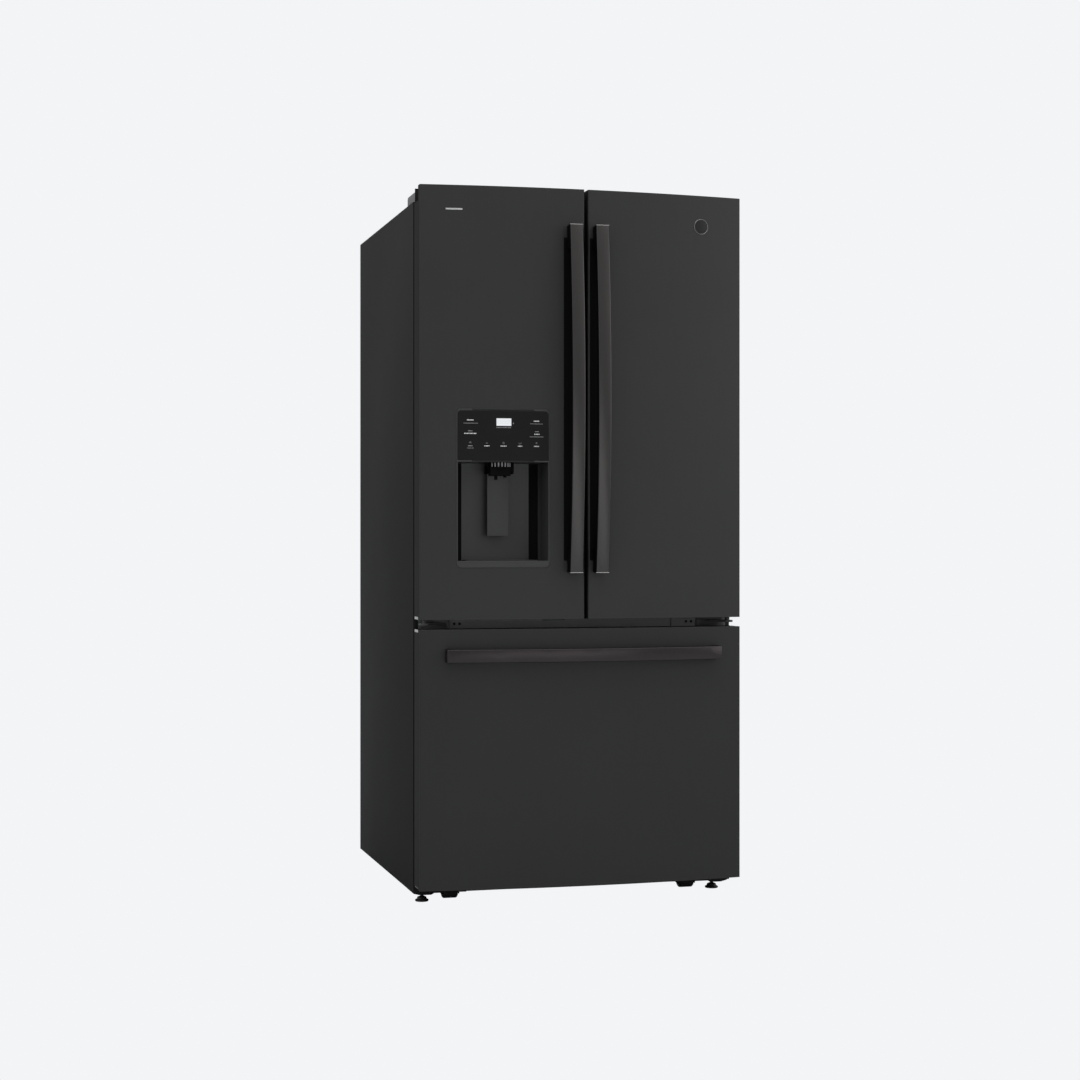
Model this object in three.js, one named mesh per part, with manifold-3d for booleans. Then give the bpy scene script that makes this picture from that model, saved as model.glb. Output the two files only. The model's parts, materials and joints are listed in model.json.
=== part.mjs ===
// French door refrigerator with a freezer drawer below and a dispenser in the left door.
// Millimetres, +Z up, front towards -Y. The origin is on the floor, under the middle of the bounding box.
// "Left" is the side at -X, on the left of someone who faces the doors.

import * as THREE from "three";
import { mergeVertices } from "three/addons/utils/BufferGeometryUtils.js";
import Module from "manifold-3d";

const wasm = await Module();
wasm.setup();

// ---------------------------------------------------------------- overall sizes
const width = 832;
const height = 1775;
const caseDepth = 760;
const crown = 28; // how far the door fronts bulge forward at the middle of the width
const handleReach = 54; // from the crown's apex to the front of the handles
const doorThickness = 66; // front corner to hard back, at the outer edges
const sealGap = 14; // door back to case front, where the gaskets are
const fit = 0.3; // gap between pieces that touch

// ---------------------------------------------------------------- heights
const caseBottom = 28;
const caseTopDrop = 31; // the case's top is this far below the doors' top
const drawerBottom = 46;
const drawerHeight = 639;
const doorDrawerGap = 24;
const doorGap = 9; // between the two doors

// ---------------------------------------------------------------- walls
const skinWall = 1.2;
const linerWall = 2.5;
const panWall = 1.5;
const binWall = 3;
const freshSideWall = 45;
const freshTopWall = 50;
const freshFloorRise = 31; // doors' bottom to the fresh food floor
const freshBackWall = 60;
const freezerSideWall = 60;
const freezerFloorRise = 59; // drawer's bottom to the freezer floor
const freezerCeilingDrop = 30; // drawer's top down to the freezer ceiling
const freezerBackWall = 70;
const machineDepth = 240;
const machineTop = 272;
const machineFrontWall = 40;
const machineRoofWall = 48;
const machineSideWall = 12;
const accessRecess = 12; // the rear access cover sits in from the back face

// ---------------------------------------------------------------- places that follow
const half = width / 2;
const depth = handleReach + crown + doorThickness + sealGap + caseDepth;
const apexY = -depth / 2 + handleReach;
const cornerY = apexY + crown; // the doors' outer front corners
const doorBackY = cornerY + doorThickness;
const caseFrontY = doorBackY + sealGap;
const caseBackY = caseFrontY + caseDepth;
const caseTop = height - caseTopDrop;
const drawerTop = drawerBottom + drawerHeight;
const doorBottom = drawerTop + doorDrawerGap;
const freshHalf = half - freshSideWall;
const freshFloor = doorBottom + freshFloorRise;
const freshCeiling = caseTop - freshTopWall;
const freshBackY = caseBackY - freshBackWall;
const freezerHalf = half - freezerSideWall;
const freezerFloor = drawerBottom + freezerFloorRise;
const freezerCeiling = drawerTop - freezerCeilingDrop;
const freezerBackY = caseBackY - freezerBackWall;
const machineFrontY = caseBackY - machineDepth;
const freezerStepY = machineFrontY - machineFrontWall;
const freezerStepZ = machineTop + machineRoofWall;

// ---------------------------------------------------------------- hinges, seals and door backs
const pivotInset = 20; // hinge axis from the door's side
const pivotBack = 40; // hinge axis behind the door's front corner
const pivotX = half - pivotInset;
const pivotY = cornerY + pivotBack;
const pinRadius = 6;
const pinGap = 0.4;
const lipDepth = 20; // the part of the door that stands to full height
const stepDrop = 37; // behind it, the door's top is this much lower
const notchHeight = 7.5; // the skin's side returns stop short at the door's ends
const edgeRadius = 4;
const gasketInset = 20;
const gasketWidth = 18;
const dykeGap = 10; // door dyke to the compartment's wall
const dykeDepth = 32;
const dykeWidth = 26;
const dykeMiddle = 55; // dyke's free side, from the middle of the fridge

// ---------------------------------------------------------------- dispenser, in the left door
const dispenserWidth = 233;
const dispenserHeight = 390;
const dispenserRise = 127.5; // above the doors' bottom
const panelHeight = 128;
const ledgeHeight = 17;
const recessBack = 66; // behind the doors' front corners
const recessCorner = 26;
const dispenserCorner = 12; // the housing's front corners
const bezelProud = 1;
const bezelWall = 4;
const bulgeDepth = 46; // the door's back swells this much behind the recess
const bulgeBelow = 36;
const bulgeAbove = 34;
const dispenserX = -(half + doorGap / 2) / 2;
const dispenserBottom = doorBottom + dispenserRise;
const dispenserTop = dispenserBottom + dispenserHeight;
const recessTop = dispenserTop - panelHeight;
const recessBottom = dispenserBottom + ledgeHeight;
const paddleWidth = 54;
const paddleHeight = 159;
const paddleWall = 4;
const paddleBack = 38;

// ---------------------------------------------------------------- handles
const handleWidth = 33;
const handleWall = 14;
const handleEndReach = 30; // the bar's front face at its ends, in front of the skin
const doorHandleRise = 115; // above the doors' bottom
const doorHandleDrop = 91; // below the doors' top
const doorHandleFromMiddle = 33.5;
const doorHandlePost = 60;
const drawerHandleInset = 61; // bar's end from the drawer's side
const drawerHandleDrop = 47; // bar's top edge below the drawer's top
const drawerHandlePost = 24;
const drawerHandleReach = 45; // from the crown's apex to the bar's front
const doorHandleLength = height - doorBottom - doorHandleRise - doorHandleDrop;

// ---------------------------------------------------------------- inside
const shelfFront = 149; // behind the doors' hard back, like the next two
const crisperFront = 184;
const iceMakerFront = 139;
const crisperHeight = 160;
const crisperLift = 3; // tub's bottom above the floor
const slideGap = 2; // between a tub and what it slides past
const ledgeWidth = 9;
const ledgeThickness = 8;
const shelfWall = 14;
const iceMakerWidth = 173;
const iceMakerDepth = 420;
const binReach = 124; // door bin, from the door's hard back
const binHeight = 100;
const leftBinPlace = 0.0874; // of the free height between the dispenser's bulge and the door's rim
const railHeight = 35;
const railWall = 2.7;
const railDepth = 13;
const railRise = 225; // above the freezer floor
const runnerGap = 8; // rails and baskets start this far behind the drawer's rim

// ---------------------------------------------------------------- feet and rollers
const footRadius = 17;
const legX = half - 31.5;
const legY = caseFrontY + 47;
const rollerX = half - 103;
const frontRollerY = caseFrontY + 52;
const rearRollerY = caseBackY - 60;
const rollerRadius = 22;
const frontRollerWidth = 38;
const rearRollerWidth = 24;
const frontRollerLift = 4; // the feet carry the front, so these just clear the floor
const axleRadius = 4;
const axleGap = 0.35;
const frontAxleHalf = frontRollerWidth / 2 + 5;
const rearAxleHalf = rearRollerWidth / 2 + 6;
const bracketWall = 2;
const rollerHeadroom = 4; // over the roller, and again over its bracket
const frontAxleZ = rollerRadius + frontRollerLift;
const bracketTop = frontAxleZ + rollerRadius + rollerHeadroom + bracketWall;
const wellTop = bracketTop + rollerHeadroom;

// ---------------------------------------------------------------- geometry helpers
const metal = (color, roughness) => new THREE.MeshStandardMaterial({ color, roughness, metalness: 0.9 });
const plastic = (color, roughness) => new THREE.MeshStandardMaterial({ color, roughness, metalness: 0 });
const look = {
  slate: metal(0x313131, 0.42),
  handle: metal(0x3c3a39, 0.3),
  blackSteel: metal(0x151515, 0.5),
  zinc: metal(0xa8abae, 0.45),
  copperBlack: metal(0x1c1c1d, 0.35),
  blackPlastic: plastic(0x17181a, 0.35),
  blackGlass: plastic(0x0d0e10, 0.12),
  greyPlastic: plastic(0x77797b, 0.5),
  whitePlastic: plastic(0xe9ebec, 0.35),
  foam: plastic(0xd9c98f, 0.9),
  rubber: plastic(0x2b2c2e, 0.8),
  clearPlastic: plastic(0xdfe8ec, 0.1),
  glass: plastic(0xcfe0e0, 0.05),
};

function box([x0, x1], [y0, y1], [z0, z1]) {
  const made = new THREE.BoxGeometry(x1 - x0, y1 - y0, z1 - z0);
  return made.translate((x0 + x1) / 2, (y0 + y1) / 2, (z0 + z1) / 2);
}

function outline(points) {
  return new THREE.Shape(points.map(([u, v]) => new THREE.Vector2(u, v)));
}

// A plan outline in (x, y), raised along Z.
function prismZ(points, [z0, z1]) {
  const made = new THREE.ExtrudeGeometry(outline(points), { depth: z1 - z0, bevelEnabled: false });
  return made.translate(0, 0, z0);
}

// A side outline in (y, z), drawn out along X.
function prismX(points, [x0, x1]) {
  const made = new THREE.ExtrudeGeometry(outline(points), { depth: x1 - x0, bevelEnabled: false });
  const turn = new THREE.Matrix4().makeBasis(
    new THREE.Vector3(0, 1, 0),
    new THREE.Vector3(0, 0, 1),
    new THREE.Vector3(1, 0, 0),
  );
  return made.applyMatrix4(turn).translate(x0, 0, 0);
}

// A front outline in (x, z), drawn out along Y.
function prismY(points, [y0, y1]) {
  const made = new THREE.ExtrudeGeometry(outline(points), { depth: y1 - y0, bevelEnabled: false });
  return made.rotateX(Math.PI / 2).translate(0, y1, 0);
}

function rodZ(radius, [x, y], [z0, z1], sides = 24) {
  const made = new THREE.CylinderGeometry(radius, radius, z1 - z0, sides).rotateX(Math.PI / 2);
  return made.translate(x, y, (z0 + z1) / 2);
}

function rodX(radius, [x0, x1], [y, z], sides = 24) {
  const made = new THREE.CylinderGeometry(radius, radius, x1 - x0, sides).rotateZ(Math.PI / 2);
  return made.translate((x0 + x1) / 2, y, z);
}

function toSolid(geometry) {
  const bare = geometry.index ? geometry.toNonIndexed() : geometry.clone();
  bare.deleteAttribute("normal");
  bare.deleteAttribute("uv");
  const merged = mergeVertices(bare, 1e-4);
  const vertProperties = new Float32Array(merged.attributes.position.array);
  const triVerts = new Uint32Array(merged.index.array);
  return new wasm.Manifold(new wasm.Mesh({ numProp: 3, vertProperties, triVerts }));
}

function toGeometry(solid) {
  const { vertProperties, triVerts } = solid.getMesh();
  const made = new THREE.BufferGeometry();
  made.setAttribute("position", new THREE.BufferAttribute(new Float32Array(vertProperties), 3));
  made.setIndex(new THREE.BufferAttribute(new Uint32Array(triVerts), 1));
  return made;
}

function join(...pieces) {
  return toGeometry(pieces.map(toSolid).reduce((a, b) => a.add(b)));
}

function cut(piece, ...tools) {
  return toGeometry(tools.map(toSolid).reduce((a, b) => a.subtract(b), toSolid(piece)));
}

function meet(a, b) {
  return toGeometry(toSolid(a).intersect(toSolid(b)));
}

// Moves a span's ends in by the same amount.
const inset = ([a, b], by) => [a + by, b - by];

// The y of the crowned front at x, which is a circle's arc over the whole width.
const crownRadius = (half * half + crown * crown) / (2 * crown);
const crownY = (x) => apexY + crownRadius - Math.sqrt(crownRadius ** 2 - x * x);

// Plan outline of a crowned front from x0 to x1, with its back at backY, all moved in by `by`.
function crownedPlan([x0, x1], backY, by = 0, radius = edgeRadius) {
  const [a, b] = inset([x0, x1], by);
  const steps = 14;
  const corner = 3;
  const points = [[a, backY]];
  for (let i = 0; i <= corner; i += 1) {
    const t = (Math.PI / 2) * (i / corner);
    points.push([a + radius * (1 - Math.cos(t)), crownY(a + radius) + by + radius * (1 - Math.sin(t))]);
  }
  for (let i = 1; i < steps; i += 1) {
    const x = a + radius + (b - a - 2 * radius) * (i / steps);
    points.push([x, crownY(x) + by]);
  }
  for (let i = corner; i >= 0; i -= 1) {
    const t = (Math.PI / 2) * (i / corner);
    points.push([b - radius * (1 - Math.cos(t)), crownY(b - radius) + by + radius * (1 - Math.sin(t))]);
  }
  points.push([b, backY]);
  return points;
}

// An open box: a bin, basket or drawer tub.
function tub(x, y, z, wall = binWall) {
  return cut(box(x, y, z), box(inset(x, wall), inset(y, wall), [z[0] + wall, z[1] + 1]));
}

const fridge = new THREE.Group();
const right = new THREE.Group(); // holds mirrored copies of the left side's pieces
right.scale.x = -1;
fridge.add(right);

function place(name, geometry, material, parent = fridge) {
  const mesh = new THREE.Mesh(geometry, material);
  mesh.name = name;
  parent.add(mesh);
}

function placePair(name, geometry, material) {
  place(name + "_left", geometry, material);
  place(name + "_right", geometry, material, right);
}

// ---------------------------------------------------------------- cabinet
const caseY = [caseFrontY, caseBackY];
const wrapInside = half - skinWall;
const freshLinerX = [-freshHalf - linerWall, freshHalf + linerWall];
const freshLinerZ = [freshFloor - linerWall, freshCeiling + linerWall];
const freezerLinerHalf = freezerHalf + linerWall;

function freezerProfile(by) {
  const floor = freezerFloor - by;
  const roof = freezerCeiling + by;
  const stepY = freezerStepY + by;
  const stepZ = freezerStepZ - by;
  const back = freezerBackY + by;
  return [
    [caseFrontY, floor],
    [stepY, floor],
    [stepY, stepZ],
    [back, stepZ],
    [back, roof],
    [caseFrontY, roof],
  ];
}

// The same outline, carried out through the front so that it cuts a way in.
function freezerHollow(by) {
  return freezerProfile(by).map(([y, z]) => [y === caseFrontY ? caseFrontY - 5 : y, z]);
}

const railZ = [freezerCeiling + linerWall + fit, freshFloor - linerWall - fit];
const railPlate = 10;
const wellWidth = frontRollerWidth + 20;
const wellX = [-rollerX - wellWidth / 2, -rollerX + wellWidth / 2];
const wellY = [frontRollerY - rollerRadius - 8, frontRollerY + rollerRadius + 8];
const legHoleHalf = 9;
const legWellX = [-legX - legHoleHalf, -legX + legHoleHalf];
const legWellY = [legY - legHoleHalf, legY + legHoleHalf];
const wellZ = [caseBottom - 5, wellTop];
const rearWellX = [-rollerX - rearRollerWidth, -rollerX + rearRollerWidth];
const rearWellY = [rearRollerY - rollerRadius - 6, rearRollerY + rollerRadius + 6];

function mirrored(x) {
  return [-x[1], -x[0]];
}

function cabinetWrap() {
  const opening = [freezerFloor - linerWall - fit, freshCeiling + linerWall + fit];
  const openingHalf = freshHalf + linerWall + fit;
  return cut(
    box([-half, half], caseY, [caseBottom, caseTop]),
    box(
      [-wrapInside, wrapInside],
      [caseFrontY + skinWall, caseBackY + 5],
      [caseBottom - 5, caseTop - skinWall],
    ),
    box([-openingHalf, openingHalf], [caseFrontY - 5, caseFrontY + 5], opening),
  );
}

function cabinetInsulation() {
  const inside = wrapInside - fit;
  const body = box(
    [-inside, inside],
    [caseFrontY + skinWall + fit, caseBackY - skinWall - fit],
    [caseBottom + panWall + fit, caseTop - skinWall - fit],
  );
  const fresh = box(
    inset(freshLinerX, -fit),
    [caseFrontY - 5, freshBackY + linerWall + fit],
    inset(freshLinerZ, -fit),
  );
  const freezer = prismX(freezerHollow(linerWall + fit), inset([-freezerLinerHalf, freezerLinerHalf], -fit));
  const machineHalf = inside - machineSideWall;
  const machine = box([-machineHalf, machineHalf], [machineFrontY, caseBackY + 5], [0, machineTop]);
  const railY = [caseFrontY - 5, caseFrontY + railPlate + fit];
  const rail = box(freshLinerX, railY, inset(railZ, -fit));
  const wells = [wellX, mirrored(wellX)].map((x) => box(x, wellY, wellZ));
  const legWells = [legWellX, mirrored(legWellX)].map((x) => box(x, legWellY, wellZ));
  return cut(body, fresh, freezer, machine, rail, ...wells, ...legWells);
}

const shelfLevels = (() => {
  const cover = freshFloor + crisperLift + crisperHeight + slideGap + ledgeThickness + fit + shelfWall;
  const rise = (freshCeiling - cover) / 3;
  return { cover, middle: cover + rise, upper: cover + 2 * rise };
})();
const shelfY = [doorBackY + shelfFront, freshBackY - 5];

function freshFoodLiner() {
  const shell = cut(
    box(freshLinerX, [caseFrontY, freshBackY + linerWall], freshLinerZ),
    box([-freshHalf, freshHalf], [caseFrontY - 5, freshBackY], [freshFloor, freshCeiling]),
  );
  const ledges = Object.values(shelfLevels).flatMap((level) =>
    [
      [-freshHalf - 1, -freshHalf + ledgeWidth],
      [freshHalf - ledgeWidth, freshHalf + 1],
    ].map((x) => box(x, shelfY, [level - shelfWall - fit - ledgeThickness, level - shelfWall - fit])),
  );
  return join(shell, ...ledges);
}

function freezerLiner() {
  return cut(
    prismX(freezerProfile(linerWall), [-freezerLinerHalf, freezerLinerHalf]),
    prismX(freezerHollow(0), [-freezerHalf, freezerHalf]),
  );
}

function basePan() {
  const ear = 3;
  const earY = [rearRollerY - 14, rearRollerY + 14];
  const earZ = [rollerRadius - 9, caseBottom + 1];
  const earFromRoller = rearRollerWidth / 2 + 2;
  const sheet = cut(
    box([-wrapInside + fit, wrapInside - fit], [caseFrontY + skinWall + fit, caseBackY - skinWall - fit], [
      caseBottom,
      caseBottom + panWall,
    ]),
    ...[wellX, mirrored(wellX)].map((x) => box(x, wellY, wellZ)),
    ...[legWellX, mirrored(legWellX)].map((x) => box(x, legWellY, wellZ)),
    ...[-rollerX, rollerX].map((x) =>
      box([x - rearRollerWidth / 2 - 1, x + rearRollerWidth / 2 + 1], rearWellY, wellZ),
    ),
  );
  const ears = [-rollerX, rollerX].flatMap((x) =>
    [x - earFromRoller - ear, x + earFromRoller].map((x0) => box([x0, x0 + ear], earY, earZ)),
  );
  const axleHole = rodX(axleRadius + axleGap, [-half, half], [rearRollerY, rollerRadius]);
  return cut(join(sheet, ...ears), axleHole);
}

const panelTopZ = caseTop - skinWall - fit;

function backPanel() {
  return box([-wrapInside + fit, wrapInside - fit], [caseBackY - skinWall, caseBackY], [
    machineTop + fit,
    panelTopZ,
  ]);
}

function rearAccessCover() {
  const across = wrapInside - machineSideWall - 3 * fit;
  const y = [caseBackY - accessRecess - skinWall, caseBackY - accessRecess];
  const sheet = box([-across, across], y, [caseBottom + panWall + fit, machineTop - fit]);
  const bushX = across - 72;
  const bush = new THREE.CylinderGeometry(11, 11, 9, 20).translate(bushX, y[1] + 3, 70);
  const bushHole = new THREE.CylinderGeometry(7, 7, 30, 20).translate(bushX, y[1], 70);
  const slots = [];
  const slotX = across - 142;
  for (let row = 0; row < 5; row += 1) {
    for (const x of [-slotX, 0, slotX]) {
      const z = 90 + row * 30;
      slots.push(box([x - 65, x + 65], [y[0] - 5, y[1] + 5], [z, z + 8]));
    }
  }
  return cut(join(sheet, bush), bushHole, ...slots);
}

function centreRail() {
  const x = freshHalf + linerWall - fit;
  return box([-x, x], [caseFrontY, caseFrontY + railPlate], railZ);
}

place("cabinet_wrap", cabinetWrap(), look.slate);
place("cabinet_insulation", cabinetInsulation(), look.foam);
place("fresh_food_liner", freshFoodLiner(), look.whitePlastic);
place("freezer_liner", freezerLiner(), look.whitePlastic);
place("base_pan", basePan(), look.zinc);
place("back_panel", backPanel(), look.slate);
place("rear_access_cover", rearAccessCover(), look.zinc);
place("centre_rail", centreRail(), look.blackSteel);

// ---------------------------------------------------------------- hinges
const hingePlate = 5;
const hingeEnd = 14;
const hingeTopZ = caseTop + fit;

// The plate leaves the pivot backwards and inwards, clear of the door's corner as it swings.
function hingeArm(z0, back) {
  const points = [];
  for (let i = 0; i <= 8; i += 1) {
    const t = Math.PI * (0.85 + (1.05 * i) / 8);
    points.push([-pivotX + hingeEnd * Math.cos(t), pivotY + hingeEnd * Math.sin(t)]);
  }
  points.push([-pivotX + 38, caseFrontY - 14], [-pivotX + 66, caseFrontY - 2], [-pivotX + 66, back]);
  points.push([-pivotX + 2, back], [-pivotX + 2, pivotY + 30]);
  return prismZ(points, [z0, z0 + hingePlate]);
}

function topHinge() {
  const arm = hingeArm(hingeTopZ + 1, caseFrontY + 90);
  const footY = [caseFrontY + 4, caseFrontY + 88];
  const foot = box([-pivotX + 4, -pivotX + 64], footY, [hingeTopZ, hingeTopZ + 3]);
  const pin = rodZ(pinRadius, [-pivotX, pivotY], [height - stepDrop - 22, hingeTopZ + 1 + hingePlate]);
  return join(arm, foot, pin);
}

const coverX = [-half + 7, -half + 116];
const coverY = [caseFrontY + 2, caseFrontY + 107];
const coverTop = height - 4;

function hingeCover() {
  const wall = 2;
  const slope = 5;
  const shell = prismX(
    [
      [coverY[0], hingeTopZ],
      [coverY[1], hingeTopZ],
      [coverY[1], coverTop - slope],
      [coverY[1] - slope, coverTop],
      [coverY[0] + slope, coverTop],
      [coverY[0], coverTop - slope],
    ],
    coverX,
  );
  const hollow = box(inset(coverX, wall), [coverY[0] - 5, coverY[1] - wall], [hingeTopZ - 5, coverTop - 8]);
  return cut(shell, hollow);
}

const centreHingeZ = drawerTop + 10;

function centreHinge() {
  const flange = 3;
  const flangeZ = [drawerTop - 17, doorBottom + 17];
  const arm = hingeArm(centreHingeZ, caseFrontY - fit - 1);
  const foot = box([-pivotX - 8, -pivotX + 72], [caseFrontY - fit - flange, caseFrontY - fit], flangeZ);
  const pin = rodZ(pinRadius, [-pivotX, pivotY], [centreHingeZ, doorBottom + 26]);
  return join(arm, foot, pin);
}

placePair("top_hinge", topHinge(), look.blackSteel);
placePair("hinge_cover", hingeCover(), look.greyPlastic);
placePair("centre_hinge", centreHinge(), look.blackSteel);

// ---------------------------------------------------------------- doors
const doorX = [-half, -doorGap / 2];
const doorZ = [doorBottom, height];
const doorSealZ = [doorBottom + gasketInset, height - stepDrop - 4];
const dykeX = [-freshHalf + dykeGap, -dykeMiddle];
const dykeZ = [freshFloor + dykeGap, freshCeiling - dykeGap];
const dykeBackY = doorBackY + dykeDepth;

// A folded steel front: the crowned face and two side returns, which stop short at the ends.
function skin(x, z, topNotch, endNotch) {
  const shell = cut(
    prismZ(crownedPlan(x, doorBackY), z),
    prismZ(crownedPlan(x, doorBackY + 5, skinWall), [z[0] - 5, z[1] + 5]),
  );
  const behindLip = [cornerY + lipDepth, doorBackY + 10];
  return cut(
    shell,
    box([x[0] - 5, x[1] + 5], behindLip, [z[1] - topNotch, z[1] + 5]),
    box([x[0] - 5, x[1] + 5], behindLip, [z[0] - 5, z[0] + endNotch]),
  );
}

// The foamed inner panel that fills the skin, with a raised rim towards the compartment.
function panelBlock(x, z, stepHeight) {
  const by = skinWall + fit;
  const inner = inset(z, fit);
  const stepped = box(
    [x[0] - 5, x[1] + 5],
    [cornerY + lipDepth, doorBackY + 5],
    [inner[1] - stepHeight, inner[1] + 5],
  );
  return cut(prismZ(crownedPlan(x, doorBackY, by), inner), stepped);
}

function dyke(x, z) {
  return cut(
    box(x, [doorBackY - 1, doorBackY + dykeDepth], z),
    box(inset(x, dykeWidth), [doorBackY + 4, doorBackY + dykeDepth + 5], inset(z, dykeWidth)),
  );
}

function pinHoles() {
  const radius = pinRadius + pinGap;
  const topHole = [height - stepDrop - 28, height];
  const bottomHole = [doorBottom - 5, doorBottom + 32];
  return [topHole, bottomHole].map((z) => rodZ(radius, [-pivotX, pivotY], z));
}

function gasket(x, outerZ) {
  const outer = inset(x, gasketInset);
  const y = [doorBackY + fit, caseFrontY - fit];
  return cut(
    box(outer, y, outerZ),
    box(inset(outer, gasketWidth), [y[0] - 5, y[1] + 5], inset(outerZ, gasketWidth)),
  );
}

// Side outline of a bowed bar on two posts: u runs along the bar, v stands off from the skin at v = 0.
function bowedBar(length, endReach, middleReach, post) {
  const steps = 16;
  const sag = middleReach - endReach;
  const reach = (u) => endReach + sag * (1 - (2 * u / length - 1) ** 2);
  const points = [
    [0, 0],
    [0, endReach],
  ];
  for (let i = 1; i < steps; i += 1) points.push([(length * i) / steps, reach((length * i) / steps)]);
  points.push([length, endReach], [length, 0], [length - post, 0]);
  for (let i = 0; i <= steps - 2; i += 1) {
    const u = length - post - ((length - 2 * post) * i) / (steps - 2);
    points.push([u, reach(u) - handleWall]);
  }
  points.push([post, 0]);
  return points;
}

function doorHandle() {
  const x = [-doorHandleFromMiddle - handleWidth / 2, -doorHandleFromMiddle + handleWidth / 2];
  const skinY = crownY(x[1]) - fit;
  const bar = bowedBar(doorHandleLength, handleEndReach, skinY - (apexY - handleReach), doorHandlePost);
  const base = doorBottom + doorHandleRise;
  return prismX(
    bar.map(([u, v]) => [skinY - v, base + u]),
    x,
  );
}

// The dispenser's outline in plan: its front follows the crown, its back is flat.
const dispenserX0 = dispenserX - dispenserWidth / 2;
const dispenserX1 = dispenserX + dispenserWidth / 2;
function dispenserPlan(by, frontOffset, backY) {
  const [a, b] = [dispenserX0 + by, dispenserX1 - by];
  const steps = 6;
  const points = [[a, backY]];
  for (let i = 0; i <= steps; i += 1) {
    const x = a + ((b - a) * i) / steps;
    points.push([x, crownY(x) + frontOffset]);
  }
  points.push([b, backY]);
  return points;
}

// A front outline with round corners, deep enough to trim a piece of the dispenser or to cut its hole.
function dispenserOutline(x, z, topRadius, bottomRadius, y) {
  const points = [];
  for (const [cx, cz, radius, turn] of [
    [x[1], z[1], topRadius, 0],
    [x[0], z[1], topRadius, 1],
    [x[0], z[0], bottomRadius, 2],
    [x[1], z[0], bottomRadius, 3],
  ]) {
    const middleX = cx + (cx === x[1] ? -radius : radius);
    const middleZ = cz + (cz === z[1] ? -radius : radius);
    const steps = radius > 0 ? 5 : 0;
    for (let i = 0; i <= steps; i += 1) {
      const t = (Math.PI / 2) * (turn + (steps > 0 ? i / steps : 0));
      points.push([middleX + radius * Math.cos(t), middleZ + radius * Math.sin(t)]);
    }
  }
  return prismY(points, y);
}

const housingX = [dispenserX0, dispenserX1];
const housingZ = [dispenserBottom, dispenserTop];
const housingDepth = [apexY - 30, cornerY + recessBack + 20];
const panelSeat = bezelWall - 1;
const panelZ = [recessTop + 2, dispenserTop - bezelWall];
const housingBackY = cornerY + recessBack + 4;
const recessBackY = cornerY + recessBack;

function dispenserHousing() {
  const plan = dispenserPlan(0, -bezelProud, housingBackY);
  const trim = dispenserOutline(housingX, housingZ, dispenserCorner, dispenserCorner, housingDepth);
  const body = meet(prismZ(plan, housingZ), trim);
  const [a, b] = [dispenserX0 + bezelWall, dispenserX1 - bezelWall];
  const front = apexY - 20;
  const recess = [
    [a, front],
    [b, front],
  ];
  for (const [x, turn] of [
    [b - recessCorner, 0],
    [a + recessCorner, Math.PI / 2],
  ]) {
    for (let i = 0; i <= 5; i += 1) {
      const t = turn + (Math.PI / 2) * (i / 5);
      recess.push([x + recessCorner * Math.cos(t), recessBackY - recessCorner + recessCorner * Math.sin(t)]);
    }
  }
  const seatRadius = dispenserCorner - panelSeat;
  const seat = dispenserOutline(inset(housingX, panelSeat), panelZ, seatRadius, 0, housingDepth);
  const pocket = meet(prismZ(dispenserPlan(panelSeat, -40, crownY(dispenserX0) + 10), panelZ), seat);
  const trayFloor = box([dispenserX - 92, dispenserX + 92], [cornerY - 8, cornerY + 54], [
    recessBottom - 7,
    recessBottom + 1,
  ]);
  return cut(body, prismZ(recess, [recessBottom, recessTop - 2]), pocket, trayFloor);
}

function controlPanel() {
  const by = panelSeat + fit;
  const z = inset(panelZ, fit);
  const plan = dispenserPlan(by, -bezelProud, crownY(dispenserX0) + 10 - fit);
  const trim = dispenserOutline(inset(housingX, by), z, dispenserCorner - by, 0, housingDepth);
  return meet(prismZ(plan, z), trim);
}

const paddleTop = recessTop - 24;
const paddleY = [cornerY + paddleBack, cornerY + paddleBack + paddleWall];
const paddlePivot = [paddleY[0] + paddleWall / 2, paddleTop];

function dispenserNozzle() {
  const z = recessTop - 2 - fit;
  const collar = new THREE.CylinderGeometry(30, 22, 16, 24).rotateX(Math.PI / 2);
  const chute = join(
    collar.translate(dispenserX - 4, cornerY + 8, z - 8),
    rodZ(17, [dispenserX - 4, cornerY + 8], [z - 30, z - 8]),
    box([dispenserX + 22, dispenserX + 32], [cornerY + 2, cornerY + 14], [z - 24, z]),
    box([dispenserX + 14, dispenserX + 26], [cornerY + 4, cornerY + 12], [z - 10, z]),
  );
  const ears = [-1, 1].map((side) => {
    const x = dispenserX + side * (paddleWidth / 2 + 3);
    return box([x - 2, x + 2], [cornerY + 4, paddlePivot[0] + 6], [paddleTop - 6, z]);
  });
  const bridge = box([dispenserX - paddleWidth / 2 - 4, dispenserX + paddleWidth / 2 + 4], [
    cornerY + 4,
    cornerY + 10,
  ], [z - 8, z]);
  const bore = rodZ(12, [dispenserX - 4, cornerY + 8], [z - 40, z - 6]);
  const pivots = rodX(2.5 + axleGap, [dispenserX - 40, dispenserX + 40], paddlePivot);
  return cut(join(chute, bridge, ...ears), bore, pivots);
}

function dispenserPaddle() {
  const x = [dispenserX - paddleWidth / 2, dispenserX + paddleWidth / 2];
  const plate = box(x, paddleY, [paddleTop - paddleHeight, paddleTop]);
  return join(plate, rodX(2.5, inset(x, -4.5), paddlePivot), rodX(3, x, paddlePivot));
}

function dripTray() {
  const x = [dispenserX - 92 + 1, dispenserX + 92 - 1];
  const y = [cornerY - 8 + 1, cornerY + 54 - 1];
  const z = [recessBottom - 7 + fit, recessBottom + 2];
  return cut(box(x, y, z), box(inset(x, 4), inset(y, 4), [z[0] + 2, z[1] + 1]));
}

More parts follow.
